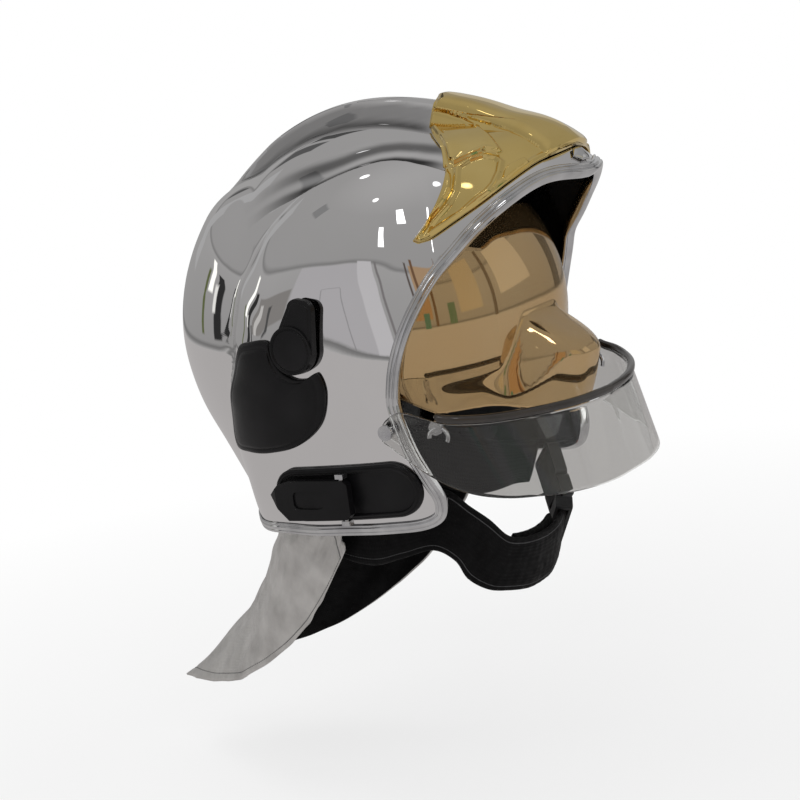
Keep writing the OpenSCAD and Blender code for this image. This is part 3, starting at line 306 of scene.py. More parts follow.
def channelAt(m):
    # millimetres from the line in the disc map, positive on the crest's side, and the place along it
    p = np.array(channel["line"], float) / 1000
    best, side, along = np.full(m.shape[:-1], 9.0), np.ones(m.shape[:-1]), np.zeros(m.shape[:-1])
    for i, (start, end) in enumerate(zip(p[:-1], p[1:])):
        e = end - start
        k = np.clip(((m - start) @ e) / (e @ e), 0, 1)
        off = m - start - k[..., None] * e
        far = np.linalg.norm(off, axis=-1)
        side = np.where(far < best, np.sign(off[..., 0] * e[1] - off[..., 1] * e[0]), side)
        along = np.where(far < best, i + k, along)
        best = np.minimum(far, best)
    return best * side * discScale, along


def channelDepth(a, x):
    d, along = channelAt(discOf(a, x))
    last = len(channel["line"]) - 1
    fall = ease(-1.2, channel["wall"], d) * ease(channel["wall"] + channel["broad"], channel["wall"], d)
    return channel["deep"] * fall * ease(0, 2, along) * ease(last, last - 5, along)


def skin(a, x):
    x = np.abs(x)
    a, x = np.broadcast_arrays(np.asarray(a, float), np.asarray(x, float))
    swell = shell["swell"] * ease(36, 56, a) * ease(112, 84, a)      # fuller above the brow
    bulge = (ringMean(a, sideTab, 24) + swell) * oval(x, halfW, shell["sideFull"])
    mid = ringMean(a, midTab, 60)
    rise = shell["ridgeRise"] * ease(36, 58, a) * ease(137, 113, a)
    half, wide = shell["stripHalf"], shell["flankWide"]
    flank = np.clip((x - half) / wide, 0, 1)
    flank = flank + 0.10 * (ease(0, 0.3, flank) - flank) * (flank < 0.3)
    strip = rise * (1 - mix(ease(half, half + wide + 2, x), flank, 0.75) - 0.0075 * np.minimum(x, 12))
    crown = (mid - rise) * oval(x, ringMean(a, bandTab, 24), shell["crownFull"]) + strip
    keel = 0.15 + 0.22 * np.exp(-((a - 46) / 11) ** 2)
    front = mid * oval(x, shell["browHalf"], shell["browFull"]) - keel * (np.sqrt(x * x + 9) - 3)
    return over(bulge, mix(crown, front, ease(60, 36, a) * ease(-20, 10, a)), 2.5) - channelDepth(a, x)


def discOf(a, x):
    r = 1 - np.degrees(np.arcsin(np.minimum(np.abs(x) / halfW, 1))) / 90
    return stack(r * cosd(a), r * sind(a))


def skinAt(m):
    a = sideAngle(m[..., 0], m[..., 1])
    x = halfW * sind(90 * (1 - np.linalg.norm(m, axis=-1)))
    s = skin(a, x)
    return stack(x, -s * cosd(a), s * sind(a))


def skinNormal(m):
    e = 0.004
    u = skinAt(m + [e, 0]) - skinAt(m - [e, 0])
    v = skinAt(m + [0, e]) - skinAt(m - [0, e])
    n = unit(np.cross(u, v))
    return n * np.sign((n * skinAt(m)).sum(-1, keepdims=True))


def lifted(m, d):
    return skinAt(m) + skinNormal(m) * np.asarray(d)[..., None]


def skinX(f, h):
    f, h = np.broadcast_arrays(np.asarray(f, float), np.asarray(h, float))
    low, high = np.zeros(f.shape), np.full(f.shape, halfW)
    for _ in range(18):
        m = (low + high) / 2
        out = skin(sideAngle(f, h), m) > np.hypot(f, h)
        low, high = np.where(out, m, low), np.where(out, high, m)
    return low


def curveAt(points, u):
    p = np.asarray(points, float)
    chord = np.sqrt(np.linalg.norm(np.diff(p, axis=0), axis=1))
    slope = np.empty_like(p)
    last = len(p) - 1
    for i in range(last + 1):
        a, b = max(i - 1, 0), min(i + 1, last)
        slope[i] = (p[b] - p[a]) / ((chord[a] if a < i else 0) + (chord[i] if i < b else 0))
    u = np.asarray(u, float)
    i = np.clip(np.floor(u).astype(int), 0, last - 1)
    s = (u - i)[..., None]
    h = chord[i][..., None]
    return ((2 * s ** 3 - 3 * s ** 2 + 1) * p[i] + (s ** 3 - 2 * s ** 2 + s) * h * slope[i]
            + (3 * s ** 2 - 2 * s ** 3) * p[i + 1] + (s ** 3 - s ** 2) * h * slope[i + 1])


edgeMap = discOf(sideAngle(edgePts[:, 0], edgePts[:, 1]), skinX(edgePts[:, 0], edgePts[:, 1]))


def edgeAt(t):
    return curveAt(edgeMap, t * (len(edgeMap) - 1))


# mesh helpers
def finishPiece(bm, name, body, finish, replaced=(), slot=None, extra=(), sharp=40):
    mesh = bpy.data.meshes.new(name)
    bm.normal_update()
    bm.to_mesh(mesh)
    bm.free()
    mesh.polygons.foreach_set("use_smooth", [True] * len(mesh.polygons))
    mesh.set_sharp_from_angle(angle=radians(sharp))
    piece = bpy.data.objects.new(name, mesh)
    scene.collection.objects.link(piece)
    for item in (finish, *extra):
        mesh.materials.append(makeFinish(item))
    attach(piece, body)
    if replaced:
        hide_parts(*replaced)
    return piece


def gridPiece(name, across, along, place, body, finish, loops="", away=None, caps=False,
              uv=(1000, 1000), **rest):
    # a grid whose points are placed by the form; loops names the directions that close
    bm = bmesh.new()
    bmesh.ops.create_grid(bm, x_segments=across, y_segments=along, size=0.5)
    uvLayer = bm.loops.layers.uv.new("UVMap")
    for face in bm.faces:
        for loop in face.loops:
            x, y, _ = loop.vert.co
            loop[uvLayer].uv = ((x + 0.5) * uv[0] / 1000, (y + 0.5) * uv[1] / 1000)
    at = np.array([vert.co for vert in bm.verts]) + 0.5
    spots = place(np.clip(at[:, 0], 0, 1), np.clip(at[:, 1], 0, 1)) * 0.001
    for vert, spot in zip(bm.verts, spots):
        vert.co = spot
    if loops or caps:
        bmesh.ops.remove_doubles(bm, verts=bm.verts, dist=2e-6)
    if caps:
        bmesh.ops.holes_fill(bm, edges=[e for e in bm.edges if e.is_boundary], sides=0)
    if away is None:
        bmesh.ops.recalc_face_normals(bm, faces=bm.faces)
    else:
        centre = Vector(away) * 0.001
        bm.normal_update()
        if sum(f.normal.dot(f.calc_center_median() - centre) for f in bm.faces) < 0:
            bmesh.ops.reverse_faces(bm, faces=bm.faces)
    return finishPiece(bm, name, body, finish, **rest)


def addWall(piece, thickness, offset=-1.0, inner=0, rim=0):
    mod = piece.modifiers.new("wall", "SOLIDIFY")
    mod.thickness = thickness * 0.001
    mod.offset = offset
    mod.material_offset = inner
    mod.material_offset_rim = rim


def addBevel(piece, width, segments=3, angle=35):
    mod = piece.modifiers.new("edges", "BEVEL")
    mod.width = width * 0.001
    mod.segments = segments
    mod.limit_method = "ANGLE"
    mod.angle_limit = radians(angle)


# chromed shell, black inside
shellGrid = {"along": 246, "across": 190, "crowding": 1.25, "share": 0.28, "above": 0.105, "below": 0.02}


def shellPlace(u, v):
    # the rows run from the crest to the edge, and crowd where they cross the channel
    rows = np.unique(np.round(u, 6))
    a = mix(shell["tipAngle"], shell["napeAngle"], rows)
    t = np.linspace(0.05, 0.95, 300)
    m = mix(stack(cosd(a), sind(a))[:, None], edgeAt(rows)[:, None], t[:, None])
    side, along = channelAt(m)
    cross = np.array([t[np.argmax(row < 0)] for row in side])
    reached = (along.max(1) > 1) & (along.min(1) < len(channel["line"]) - 1.5)
    good = reached & (cross > 0.1) & (a > 42) & (a < 150)
    cross = np.interp(u, rows[good], cross[good])
    low, high = cross - shellGrid["above"], cross + shellGrid["below"]
    w = 2 * v - 1
    s = np.abs(w)
    share = shellGrid["share"]
    first = (1 - share) * low / (1 - high + low)
    crowded = low * (s / first) ** shellGrid["crowding"]
    t = np.where(s < first, crowded, low + (s - first) / share * (high - low))
    t = np.where(s > first + share, high + (s - first - share) / (1 - first - share) * (1 - high), t)
    a = mix(shell["tipAngle"], shell["napeAngle"], u)
    m = mix(stack(cosd(a), sind(a)), edgeAt(u), np.clip(t, 0, 1)[:, None])
    return skinAt(m) * mirrored(w)


mirrorShell = gridPiece("mirrorShell", shellGrid["along"], shellGrid["across"], shellPlace, "helmet",
                        "mirrorChrome", away=(0, 0, 0), replaced=["outer_shell"], slot="chromed_shell",
                        extra=["blackLacquer"])

# painted shade: the chrome is darkened in the channel, under the crest's strip and in the dip above the
# channel, in place of dark reflections
# each as start, full, still full and end in millimetres, then its strength
hollows = {"floor": (0.4, 1.6, 6.4, 11.0, 0.97), "dip": (12.0, 17.5, 20.0, 29.0, 0.72),
           "foot": (17.8, 21.6, 22.8, 27.6, 0.84), "flank": (10.6, 12.6, 17.6, 21.0, 0.42)}


def hollowAt(place):
    def band(d, key):
        start, full, still, end, most = hollows[key]
        return most * ease(start, full, d) * ease(end, still, d)

    x = np.abs(place[:, 0])
    a = np.degrees(np.arctan2(place[:, 2], -place[:, 1])) % 360
    d, along = channelAt(discOf(a, x))
    last = len(channel["line"]) - 1
    ends = ease(1.2, 3.5, along) * ease(last - 0.5, last - 5, along)
    strip = (band(x, "foot") + band(x, "flank")) * ease(56, 66, a) * ease(137, 118, a)
    return np.maximum(np.maximum(band(d, "floor"), band(d, "dip")) * ends, strip)


# the painted shade's strength goes on the shell's points as an attribute
mesh = mirrorShell.data
place = np.empty(len(mesh.vertices) * 3)
mesh.vertices.foreach_get("co", place)
mesh.attributes.new("hollow", "FLOAT", "POINT").data.foreach_set("value", hollowAt(place.reshape(-1, 3) * 1000))
addWall(mirrorShell, wall, inner=1, rim=1)
print("shell made")

# chromed edge moulding, swept round the edge with its lines
moulding = {"steps": 520, "endShare": 0.06,
            "section": [(-6.2, 0.35), (-6.25, 0.9), (-5.9, 1.45), (-5.2, 1.6), (-4.75, 1.1), (-4.3, 1.1),
                        (-3.9, 1.7), (-3.0, 2.1), (-1.9, 2.15), (-1.5, 1.65), (-1.1, 1.65), (-0.7, 2.15),
                        (0.3, 2.2), (1.1, 1.8), (1.6, 1.0), (1.8, -0.4), (1.8, -3.6), (1.5, -5.0),
                        (0.9, -5.9), (0.0, -6.2), (-3.0, -6.2), (-5.4, -6.0), (-6.0, -5.5), (-6.1, -4.4),
                        (0.2, -4.4), (0.2, 0.35)]}


def edgeRing(steps, share):
    q = np.arange(steps) / steps
    h = np.where(q < 0.5, 2 * q, 2 - 2 * q)
    a = np.array([cosd(shell["tipAngle"]), sind(shell["tipAngle"])])
    b = np.array([cosd(shell["napeAngle"]), sind(shell["napeAngle"])])
    m = edgeAt(np.clip((h - share) / (1 - 2 * share), 0, 1))
    m = np.where((h < share)[:, None], mix(a, edgeAt(np.array([0.0])), (h / share)[:, None]), m)
    nape = mix(edgeAt(np.array([1.0])), b, ((h - 1 + share) / share)[:, None])
    m = np.where((h > 1 - share)[:, None], nape, m)
    turn = mirrored(np.where(q < 0.5, 1, -1))
    p, n = skinAt(m) * turn, skinNormal(m) * turn
    for _ in range(6):      # the corners beside the brow's tip are eased
        p = (np.roll(p, 1, 0) + 2 * p + np.roll(p, -1, 0)) / 4
        n = unit(np.roll(n, 1, 0) + 2 * n + np.roll(n, -1, 0))
    t = unit(np.roll(p, -2, 0) - np.roll(p, 2, 0))
    return p, n, unit(np.cross(t, n))


def mouldingPlace(u, v):
    p, n, b = edgeRing(moulding["steps"], moulding["endShare"])
    i = np.rint(u * moulding["steps"]).astype(int) % moulding["steps"]
    section = np.array(moulding["section"])
    q = section[np.rint(v * len(section)).astype(int) % len(section)]
    return p[i] + b[i] * q[:, :1] + n[i] * q[:, 1:]


gridPiece("edgeMoulding", moulding["steps"], len(moulding["section"]), mouldingPlace, "helmet", "trimChrome",
          loops="uv", replaced=["edge_trim"], slot="chromed_trim", sharp=50)

# gilt front plate: centre blade, flat upper panels, teardrop side panels, border
plate = {"rear": [[66, 0], [64, 13], [60.6, 26], [52, 48], [46.3, 63], [42.2, 76], [40.1, 86], [38.8, 93]],
         "front": [[35.2, 0], [35.2, 16], [35.4, 34], [35, 55], [34.8, 71], [35.6, 84], [37.2, 91.5]],
         "gap": 1.3, "thick": 1.6, "along": 420, "across": 150,
         # outlines of the facets in the disc map, in thousandths
         "kite": [(417, 825), (445, 813), (478, 793), (528, 752), (567, 701), (583, 600), (588, 511),
                  (575, 508), (553, 526), (522, 513), (476, 494), (470, 543), (465, 592), (455, 663),
                  (437, 722), (424, 760)],
         "wing": [(458, 483), (464, 462), (463, 443), (457, 413), (441, 383), (426, 362), (409, 344),
                  (383, 312), (362, 289), (350, 262), (320, 255), (300, 268), (341, 300), (363, 322),
                  (397, 362), (424, 408), (449, 462)],
         "tear": [(477, 481), (509, 503), (544, 510), (571, 491), (578, 471), (563, 431), (542, 394),
                  (523, 373), (495, 353), (466, 329), (437, 313), (415, 304), (393, 294), (365, 281),
                  (394, 317), (421, 346), (440, 366), (459, 399), (469, 440)],
         "blade": [(400, 1000), (425, 829), (473, 801), (526, 765), (564, 729), (598, 695), (634, 643),
                   (655, 600), (674, 560), (690, 532), (700, 500), (860, 560), (860, 900)],
         "facet": [(562, 413), (571, 434), (587, 456), (609, 468), (632, 482), (640, 462), (594, 425),
                   (568, 402)]}


def insideBy(m, outline):
    # distance from the outline in millimetres, positive inside it
    p = np.array(outline, float) / 1000
    q = np.roll(p, -1, 0)
    best = np.full(len(m), 9.0)
    inside = np.zeros(len(m), bool)
    for (ax, ay), (bx, by) in zip(p, q):
        e = np.array([bx - ax, by - ay])
        k = np.clip(((m - [ax, ay]) @ e) / (e @ e), 0, 1)
        best = np.minimum(best, np.linalg.norm(m - [ax, ay] - k[:, None] * e, axis=1))
        if ay != by:
            cross = (m[:, 1] < ay) != (m[:, 1] < by)
            inside ^= cross & (m[:, 0] < ax + (m[:, 1] - ay) / (by - ay) * (bx - ax))
    return best * discScale * np.where(inside, 1, -1)


def plateRelief(m, s):
    kite, wing, tear, blade, facet = (insideBy(m, plate[k]) for k in ("kite", "wing", "tear", "blade", "facet"))
    bead = 0.3 * np.exp(-((kite - 2.2) / 0.9) ** 2)
    panel = 2.9 * ease(-0.6, 1.8, kite) + bead + 0.02 * np.clip(kite, 0, 12)
    flank = 2.2 * ease(-0.6, 1.4, wing)
    arch = 1 - np.clip(1 - (blade + 0.8) / 8.5, 0, 1) ** 2
    keel = 4.2 * np.sqrt(np.maximum(arch, 0))
    chip = 2.2 * ease(-0.4, 1.0, facet)
    # the drop: a rim that rolls into a hollow
    drop = 2.0 * np.exp(-((tear - 1.0) / 1.5) ** 2) - 1.0 * ease(1.5, 6.5, tear)
    ledge = 1.1 * ease(0.012, 0.0, np.abs(s - 0.985))
    raised = np.maximum.reduce([panel, flank, keel, chip, drop * (tear > -3.5), ledge])
    return raised + np.minimum(drop, 0) * (tear > 0)


def platePlace(u, v):
    w = 2 * u - 1
    s = np.abs(w)
    rearLine = curveAt([discOf(a, x) for a, x in plate["rear"]], s * (len(plate["rear"]) - 1))
    frontLine = curveAt([discOf(a, x) for a, x in plate["front"]], s * (len(plate["front"]) - 1))
    m = mix(rearLine, frontLine, v[:, None])
    breadth = np.linalg.norm(frontLine - rearLine, axis=1) * discScale
    rim = np.minimum(np.minimum(v, 1 - v) * breadth, (1 - s) * 120)
    foot = 0.9 * ease(0, 2.0, rim) * ease(5.0, 2.4, rim) * (v > 0.5)
    relief = np.maximum(plateRelief(m, s), foot) * ease(0.1, 1.6, rim)
    d = plate["gap"] + plate["thick"] + relief - 1.2 * (1 - np.clip(rim / 0.9, 0, 1)) ** 2
    return lifted(m, d) * mirrored(w)


giltPlate = gridPiece("giltPlate", plate["along"], plate["across"], platePlace, "helmet", "giltMirror",
                      away=(0, 0, 0), replaced=["front_plate"], slot="gilt_plate")
addWall(giltPlate, 1.3)

# small chromed keystone on the middle of the brim
keystone = {"angles": (34.9, 31.9), "half": 9.0, "rise": 3.4}


def keystonePlace(u, v):
    w = 2 * u - 1
    across = keystone["half"] * w * (1 - 0.55 * np.abs(2 * v - 1))
    m = discOf(mix(keystone["angles"][0], keystone["angles"][1], v), across)
    d = 1.6 + (keystone["rise"] - 1.6) * (1 - np.maximum(np.abs(w), np.abs(2 * v - 1)) ** 3)
    return lifted(m, d) * mirrored(w)


brimKeystone = gridPiece("brimKeystone", 24, 16, keystonePlace, "helmet", "trimChrome", away=(0, 0, 0),
                         slot="chromed_trim")
addWall(brimKeystone, 1.6)
print("moulding and plate made")

# gilt eye visor
visor = {"f": 14.0, "h": 17.0, "r": 113.0, "half": 109.0, "thick": 2.4, "nose": 39.0, "top": 36.0,
         "cols": 150, "rows": 84}
earX = visor["half"] * sin(radians(74))


def visorAt(a, x, r0, d=0.0):
    w = np.abs(x)
    h = visor["h"] + r0 * sind(a)
    noseLine = -21 + 31 * (1 - ease(20, 46, w))
    lift = ((7 + (visor["nose"] - 7) * (1 - ease(6, 60, w))) * ease(noseLine + 6, noseLine - 18, h)
            * ease(earX, earX - 26, w))
    r = r0 + lift - d
    return stack(x * (1 - d / visor["half"]), -(visor["f"] + r * cosd(a)), visor["h"] + r * sind(a))


def visorPlace(u, v):
    n = visor["cols"]
    x = visor["half"] * sind(mix(-74, 74, np.arange(n - 3) / (n - 4)))
    x = np.concatenate([[-earX, -earX], x, [earX, earX]])
    r = np.concatenate([[24, 34], visor["r"] * oval(x[2:-2], visor["half"], 2.5), [34, 24]])
    i = np.rint(u * n).astype(int)
    low = -np.minimum(np.degrees(np.arcsin(np.minimum((44 + visor["h"]) / (r[i] + 18), 1))), 36)
    return visorAt(mix(visor["top"], low, v), x[i], r[i])


giltVisor = gridPiece("giltVisor", visor["cols"], visor["rows"], visorPlace, "visor", "giltLens",
                      away=(0, 0, 0), replaced=["visor_lens"], slot="gilt_lens")
addWall(giltVisor, visor["thick"])

# clear face shield and its rim seal
shield = {"reach": 171.0, "h": -37.0, "drop": 51.0, "flare": 11.0, "thick": 2.0, "seal": 2.8}
rimF, rimH = shield["reach"], shield["h"]
lipF, lipH = rimF + shield["flare"], rimH - 7 - shield["drop"]
shieldUp = [[0, rimF, rimH - 7], [25, rimF - 2.5, rimH - 6.7], [48, rimF - 8, rimH - 6],
            [75, rimF - 20, rimH - 4.5], [96, rimF - 35, rimH - 3], [108, rimF - 48, rimH - 1],
            [114, 111, rimH + 1], [118, 98, -31], [120.5, 85, -27], [121.5, 76, -30], [122, 69, -37]]
shieldLow = [[0, lipF, lipH], [25, lipF - 1, lipH], [50, lipF - 6, lipH + 1], [69, lipF - 14.5, lipH + 2.5],
             [84, lipF - 26, lipH + 4.5], [98, lipF - 39, lipH + 7], [106, 127, -84.5], [111, 113, -79],
             [115.5, 99, -70], [119, 86, -59], [122, 70, -45]]


def shieldPoint(p, d):
    v = unit(stack(p[:, 0], 60 - p[:, 1]))
    return stack(p[:, 0] - d * v[:, 0], -(p[:, 1] + d * v[:, 1]), p[:, 2])


def shieldPlace(u, v):
    w = 2 * u - 1
    q = np.abs(w) * 10
    return shieldPoint(mix(curveAt(shieldUp, q), curveAt(shieldLow, q), v[:, None]), 0) * mirrored(w)


clearShield = gridPiece("clearShield", 240, 24, shieldPlace, "shield", "clearSheet", away=(0, 0, -60),
                        replaced=["face_shield"], slot="clear_sheet")
addWall(clearShield, shield["thick"])
addBevel(clearShield, 0.5, 2, 60)
clearShield.visible_shadow = False


def sealPlace(u, v):
    steps = 240
    w = np.arange(-2, steps + 3) / steps * 2 - 1
    path = shieldPoint(curveAt(shieldUp, np.abs(w) * 14 / 22 * 10), shield["thick"] / 2) * mirrored(w)
    tangent = unit(path[2:] - path[:-2])[1:-1]
    path = path[2:-2]
    side = unit(np.cross([0, 0, 1], tangent))
    i = np.rint(u * steps).astype(int)
    angle = v * 360
    fat = shield["seal"] * np.clip(0.35 + np.minimum(u, 1 - u) * 60, 0, 1)
    return (path[i] + side[i] * (fat * cosd(angle))[:, None]
            + np.array([0, 0, 1]) * (fat * sind(angle) + 1.1 * shield["seal"])[:, None])


gridPiece("rimSeal", 240, 20, sealPlace, "shield", "rimRubber", loops="v", caps=True, replaced=["shield_rim"],
          slot="rim_rubber")
print("visor and shield made")

# pieces that lie on the shell's sides
coverPts = [[-38, 18], [-24, 22.5], [-9, 22.5], [-5.5, 12], [0, 3], [10, -2.5], [20, -2.5], [28, 0.5],
            [31.5, -13], [24, -33], [4, -47], [-20, -52], [-42, -52.5], [-60, -50], [-61, -32],
            [-55, -10]]


def roundOutline(points, steps):
    p = [points[-1]] + points + [points[0], points[1]]
    return curveAt(p, 1 + np.arange(steps) / steps * len(points))


def stadium(a, b, r, n, share=3):
    a, b = np.array(a, float), np.array(b, float)
    start = np.degrees(atan2(*(b - a)[::-1]))
    turn = start - 90 + np.arange(n + 1) * 180 / n
    t = np.arange(1, share + 1)[:, None] / (share + 1)
    up = r * stack(cosd(start + 90), sind(start + 90))
    return np.concatenate([b + r * stack(cosd(turn), sind(turn)), mix(b, a, t) + up,
                           a + r * stack(cosd(turn + 180), sind(turn + 180)), mix(a, b, t) - up])


def onSide(name, side, rings, replaced):
    # rings: outline in side view and its lift over the skin, from the middle of the face outwards and under
    rings = [(np.asarray(outline, float), lift) for outline, lift in rings]
    count = len(rings[0][0])

    def place(u, v):
        i = np.rint(u * count).astype(int) % count
        j = np.rint(v * (len(rings) - 1)).astype(int)
        out = np.empty((len(u), 3))
        for k, (outline, lift) in enumerate(rings):
            pick = j == k
            f, h = outline[i[pick], 0], outline[i[pick], 1]
            rise = lift[i[pick]] if np.ndim(lift) else lift
            out[pick] = stack(side * (skinX(f, h) + rise), -f, h)
        return out

    gridPiece(name, count, len(rings) - 1, place, "helmet", "satinBlack", loops="u", caps=True,
              replaced=[replaced], slot="satin_black")


def scaled(outline, mid, k):
    return np.array(mid) + (np.asarray(outline) - mid) * k


cover = {"thick": 3.0, "steps": 260, "mid": (-16, -22)}
maskPlate = {"a": (-4, -81.5), "b": (67.5, -79), "r": 18.5, "border": 4.0, "thick": 3.0}


def coverRings():
    outline = roundOutline(coverPts, cover["steps"])
    t = cover["thick"]
    rows = [(0.04, t + 1.5), (0.25, t + 1.45), (0.5, t + 1.35), (0.7, t + 1.1), (0.82, t + 0.8),
            (0.86, t + 0.55), (0.875, t + 0.1), (0.89, t - 0.1), (0.905, t + 0.05), (0.93, t + 0.15),
            (0.965, t), (0.985, t - 0.35), (1.0, t - 1.1), (1.0, 0.5), (0.7, 0.5), (0.3, 0.5), (0.04, 0.5)]
    return [(scaled(outline, cover["mid"], k), lift) for k, lift in rows]


def maskRings():
    a, b, r, t = np.array(maskPlate["a"]), np.array(maskPlate["b"]), maskPlate["r"], maskPlate["thick"]
    mid = (a + b) / 2
    lip = t + 1.4
    core = [(0.05, 0.10), (0.35, 0.35), (0.6, 0.55)]
    rows = [(stadium(mix(mid, a, s), mix(mid, b, s), r * k, 40, 20), t - 1.0) for s, k in core]
    inner = maskPlate["border"]
    rows += [(stadium(a, b, r - inset, 40, 20), lift) for inset, lift in
             [(inner + 1.4, t - 1.0), (inner + 0.5, t - 0.8), (inner, t - 0.2), (inner - 0.3, lip - 0.35),
              (inner - 0.8, lip), (2.4, lip - 0.05), (2.1, lip - 0.4), (1.7, lip - 0.4), (1.4, lip - 0.1),
              (0.6, lip - 0.6), (0.1, lip - 1.6), (0.0, 0.5), (inner, 0.5)]]
    return rows + [(stadium(mix(mid, a, s), mix(mid, b, s), r * k, 40, 20), 0.5) for s, k in core[::-1]]


for side, word in ((1, "left"), (-1, "right")):
    onSide("sideCover_" + word, side, coverRings(), "side_cover_" + word)
    onSide("maskPlate_" + word, side, maskRings(), "mask_plate_" + word)

# visor knobs: round boss with a domed face and a lever
knob = {"x": 122.2, "r": 16.5, "thick": 7.0, "lever": 34.0, "leverW": 19.0, "leverAngle": 77.0}


def knobPiece(side, word):
    s = knob
    bm = bmesh.new()
    boss = bmesh.ops.create_cone(bm, cap_ends=True, segments=96, radius1=s["r"], radius2=s["r"] - 0.6,
                                 depth=s["thick"] - 0.2)
    bmesh.ops.translate(bm, verts=boss["verts"], vec=(0, 0, (s["thick"] - 0.2) / 2))
    top = [f for f in bm.faces if f.normal.z > 0.9]
    for inset, rise in ((1.2, 0.0), (0.5, -0.7), (0.6, 0.0), (0.5, 0.6), (5.0, 0.5), (6.0, 0.15)):
        bmesh.ops.inset_region(bm, faces=top, thickness=inset, depth=rise, use_even_offset=True)
    low = [v for v in bm.verts if v.co.z < 0.01]
    arc = [(s["lever"] - 7 + 7 * cos(t), (s["leverW"] / 2 - 7) * (1 if sin(t) > 0 else -1) + 7 * sin(t))
           for t in [radians(88 - i * 16) for i in range(12)]]
    shift = s["r"] - 2.5 - s["leverW"] / 2      # its front edge runs down to the rim
    outline = [(x, y + shift) for x, y in arc] + [(0, 1.5 - s["r"]), (0, s["r"])]
    lever = [bm.verts.new((x, y, 0)) for x, y in outline]
    face = bm.faces.new(lever)
    raised = bmesh.ops.extrude_face_region(bm, geom=[face])
    topVerts = [g for g in raised["geom"] if isinstance(g, bmesh.types.BMVert)]
    for vert in topVerts:      # the lever slopes down to its end
        vert.co.z = s["thick"] - 1.6 - 0.06 * max(vert.co.x - s["r"], 0)
    topFace = [g for g in raised["geom"] if isinstance(g, bmesh.types.BMFace)]
    bmesh.ops.inset_region(bm, faces=topFace, thickness=2.2, depth=0.0, use_even_offset=True)
    bmesh.ops.inset_region(bm, faces=topFace, thickness=0.6, depth=-0.5, use_even_offset=True)
    turn = Matrix.Rotation(radians(180 - s["leverAngle"]), 4, "Z")
    bmesh.ops.transform(bm, matrix=turn, verts=bm.verts)
    # local X runs backwards along +Y, local Y up, local Z out of the side
    place = Matrix(((0, 0, side, side * s["x"]), (1, 0, 0, -visor["f"]), (0, 1, 0, visor["h"]), (0, 0, 0, 1)))
    bmesh.ops.transform(bm, matrix=Matrix.Scale(0.001, 4) @ place, verts=bm.verts)
    bmesh.ops.recalc_face_normals(bm, faces=bm.faces)
    piece = finishPiece(bm, "visorKnob_" + word, "visor", "satinBlack", replaced=["visor_knob_" + word],
                        slot="satin_black", sharp=30)
    addBevel(piece, 0.7, 3, 40)


for side, word in ((1, "left"), (-1, "right")):
    knobPiece(side, word)
print("side fittings made")

# neck curtain: aluminised outside, black lining, stitched border
curtain = {"end": [[90, 8, -122], [87, -22, -163], [80, -49, -190], [74, -80, -213], [60, -127, -238],
                   [43, -163, -249], [20, -203, -259], [0, -235, -264]],
           "hem": [[100, 12], [101, -10], [95, -36], [82, -54], [66, -67], [46, -81], [22, -91], [0, -94.5]],
           "cloth": 1.6, "lining": 1.6, "seat": 0.3, "across": 220, "along": 80, "border": 6.5,
           "reach": 0.985, "long": 185.0, "wide": 250.0, "seam": 0.10}


def curtainMid(s, t):
    w = (1 - np.abs(s)) * (len(curtain["end"]) - 1)
    h, e = curveAt(curtain["hem"], w), curveAt(curtain["end"], w)
    top = stack(h[:, 0], h[:, 1], -100.0)
    c = stack(h[:, 0] * 0.99, h[:, 1] - 2, -100 - 0.32 * np.linalg.norm(e - top, axis=1))
    t = t[:, None]
    p = top * (1 - t) ** 2 + c * 2 * t * (1 - t) + e * t * t
    return stack(np.where(s < 0, -p[:, 0], p[:, 0]), -p[:, 1], p[:, 2])


def curtainFrame(s, t):
    e = 0.01
    u = curtainMid(s + e, t) - curtainMid(s - e, t)
    v = curtainMid(s, t + e) - curtainMid(s, np.maximum(t - e, 0))
    return unit(np.cross(u, v))


def curtainAt(s, t, d, fine=0.0):
    fold = (2.5 * np.exp(-((t - 0.24) / 0.07) ** 2) * ease(0.9, 0.6, np.abs(s))
            + 1.5 * sind(900 * s) * ease(0.3, 1, t))
    fold = fold + fine * (0.5 * sind(2100 * s + 900 * t) * ease(0.15, 0.5, t)
                          + 0.4 * sind(3400 * s - 1500 * t + 40) + 0.35 * sind(1300 * t + 700 * s))
    return curtainMid(s, t) + curtainFrame(s, t) * (-np.asarray(d) - fold)[:, None]


def borderGroove(s, t):
    # the cloth is drawn in along the stitched border and the cross seam
    side = (curtain["reach"] - np.abs(s)) * curtain["wide"]
    low = (1 - t) * curtain["long"]
    seam = (t - curtain["seam"]) * curtain["long"]
    return 0.55 * np.exp(-(np.minimum(side, low) - curtain["border"]) ** 2) + 0.5 * np.exp(-(seam / 1.2) ** 2)


def clothPlace(u, v):
    s, t = mix(-curtain["reach"], curtain["reach"], u), v
    return curtainAt(s, t, borderGroove(s, t), 1.0)


def liningPlace(u, v):
    s, t = mix(-curtain["reach"], curtain["reach"], u), v * 0.992
    return curtainAt(s, t, np.full(len(s), curtain["cloth"] + curtain["seat"]), 1.0)


neckCloth = gridPiece("neckCloth", curtain["across"], curtain["along"], clothPlace, "helmet", "aluminisedCloth",
                      away=(0, 0, -150), replaced=["neck_curtain"], slot="aluminised_cloth", uv=(500, 185))
addWall(neckCloth, curtain["cloth"])
neckLining = gridPiece("neckLining", curtain["across"], curtain["along"], liningPlace, "helmet", "blackCloth",
                       away=(0, 0, -150), replaced=["curtain_lining"], slot="lining_cloth", uv=(500, 185))
addWall(neckLining, curtain["lining"])


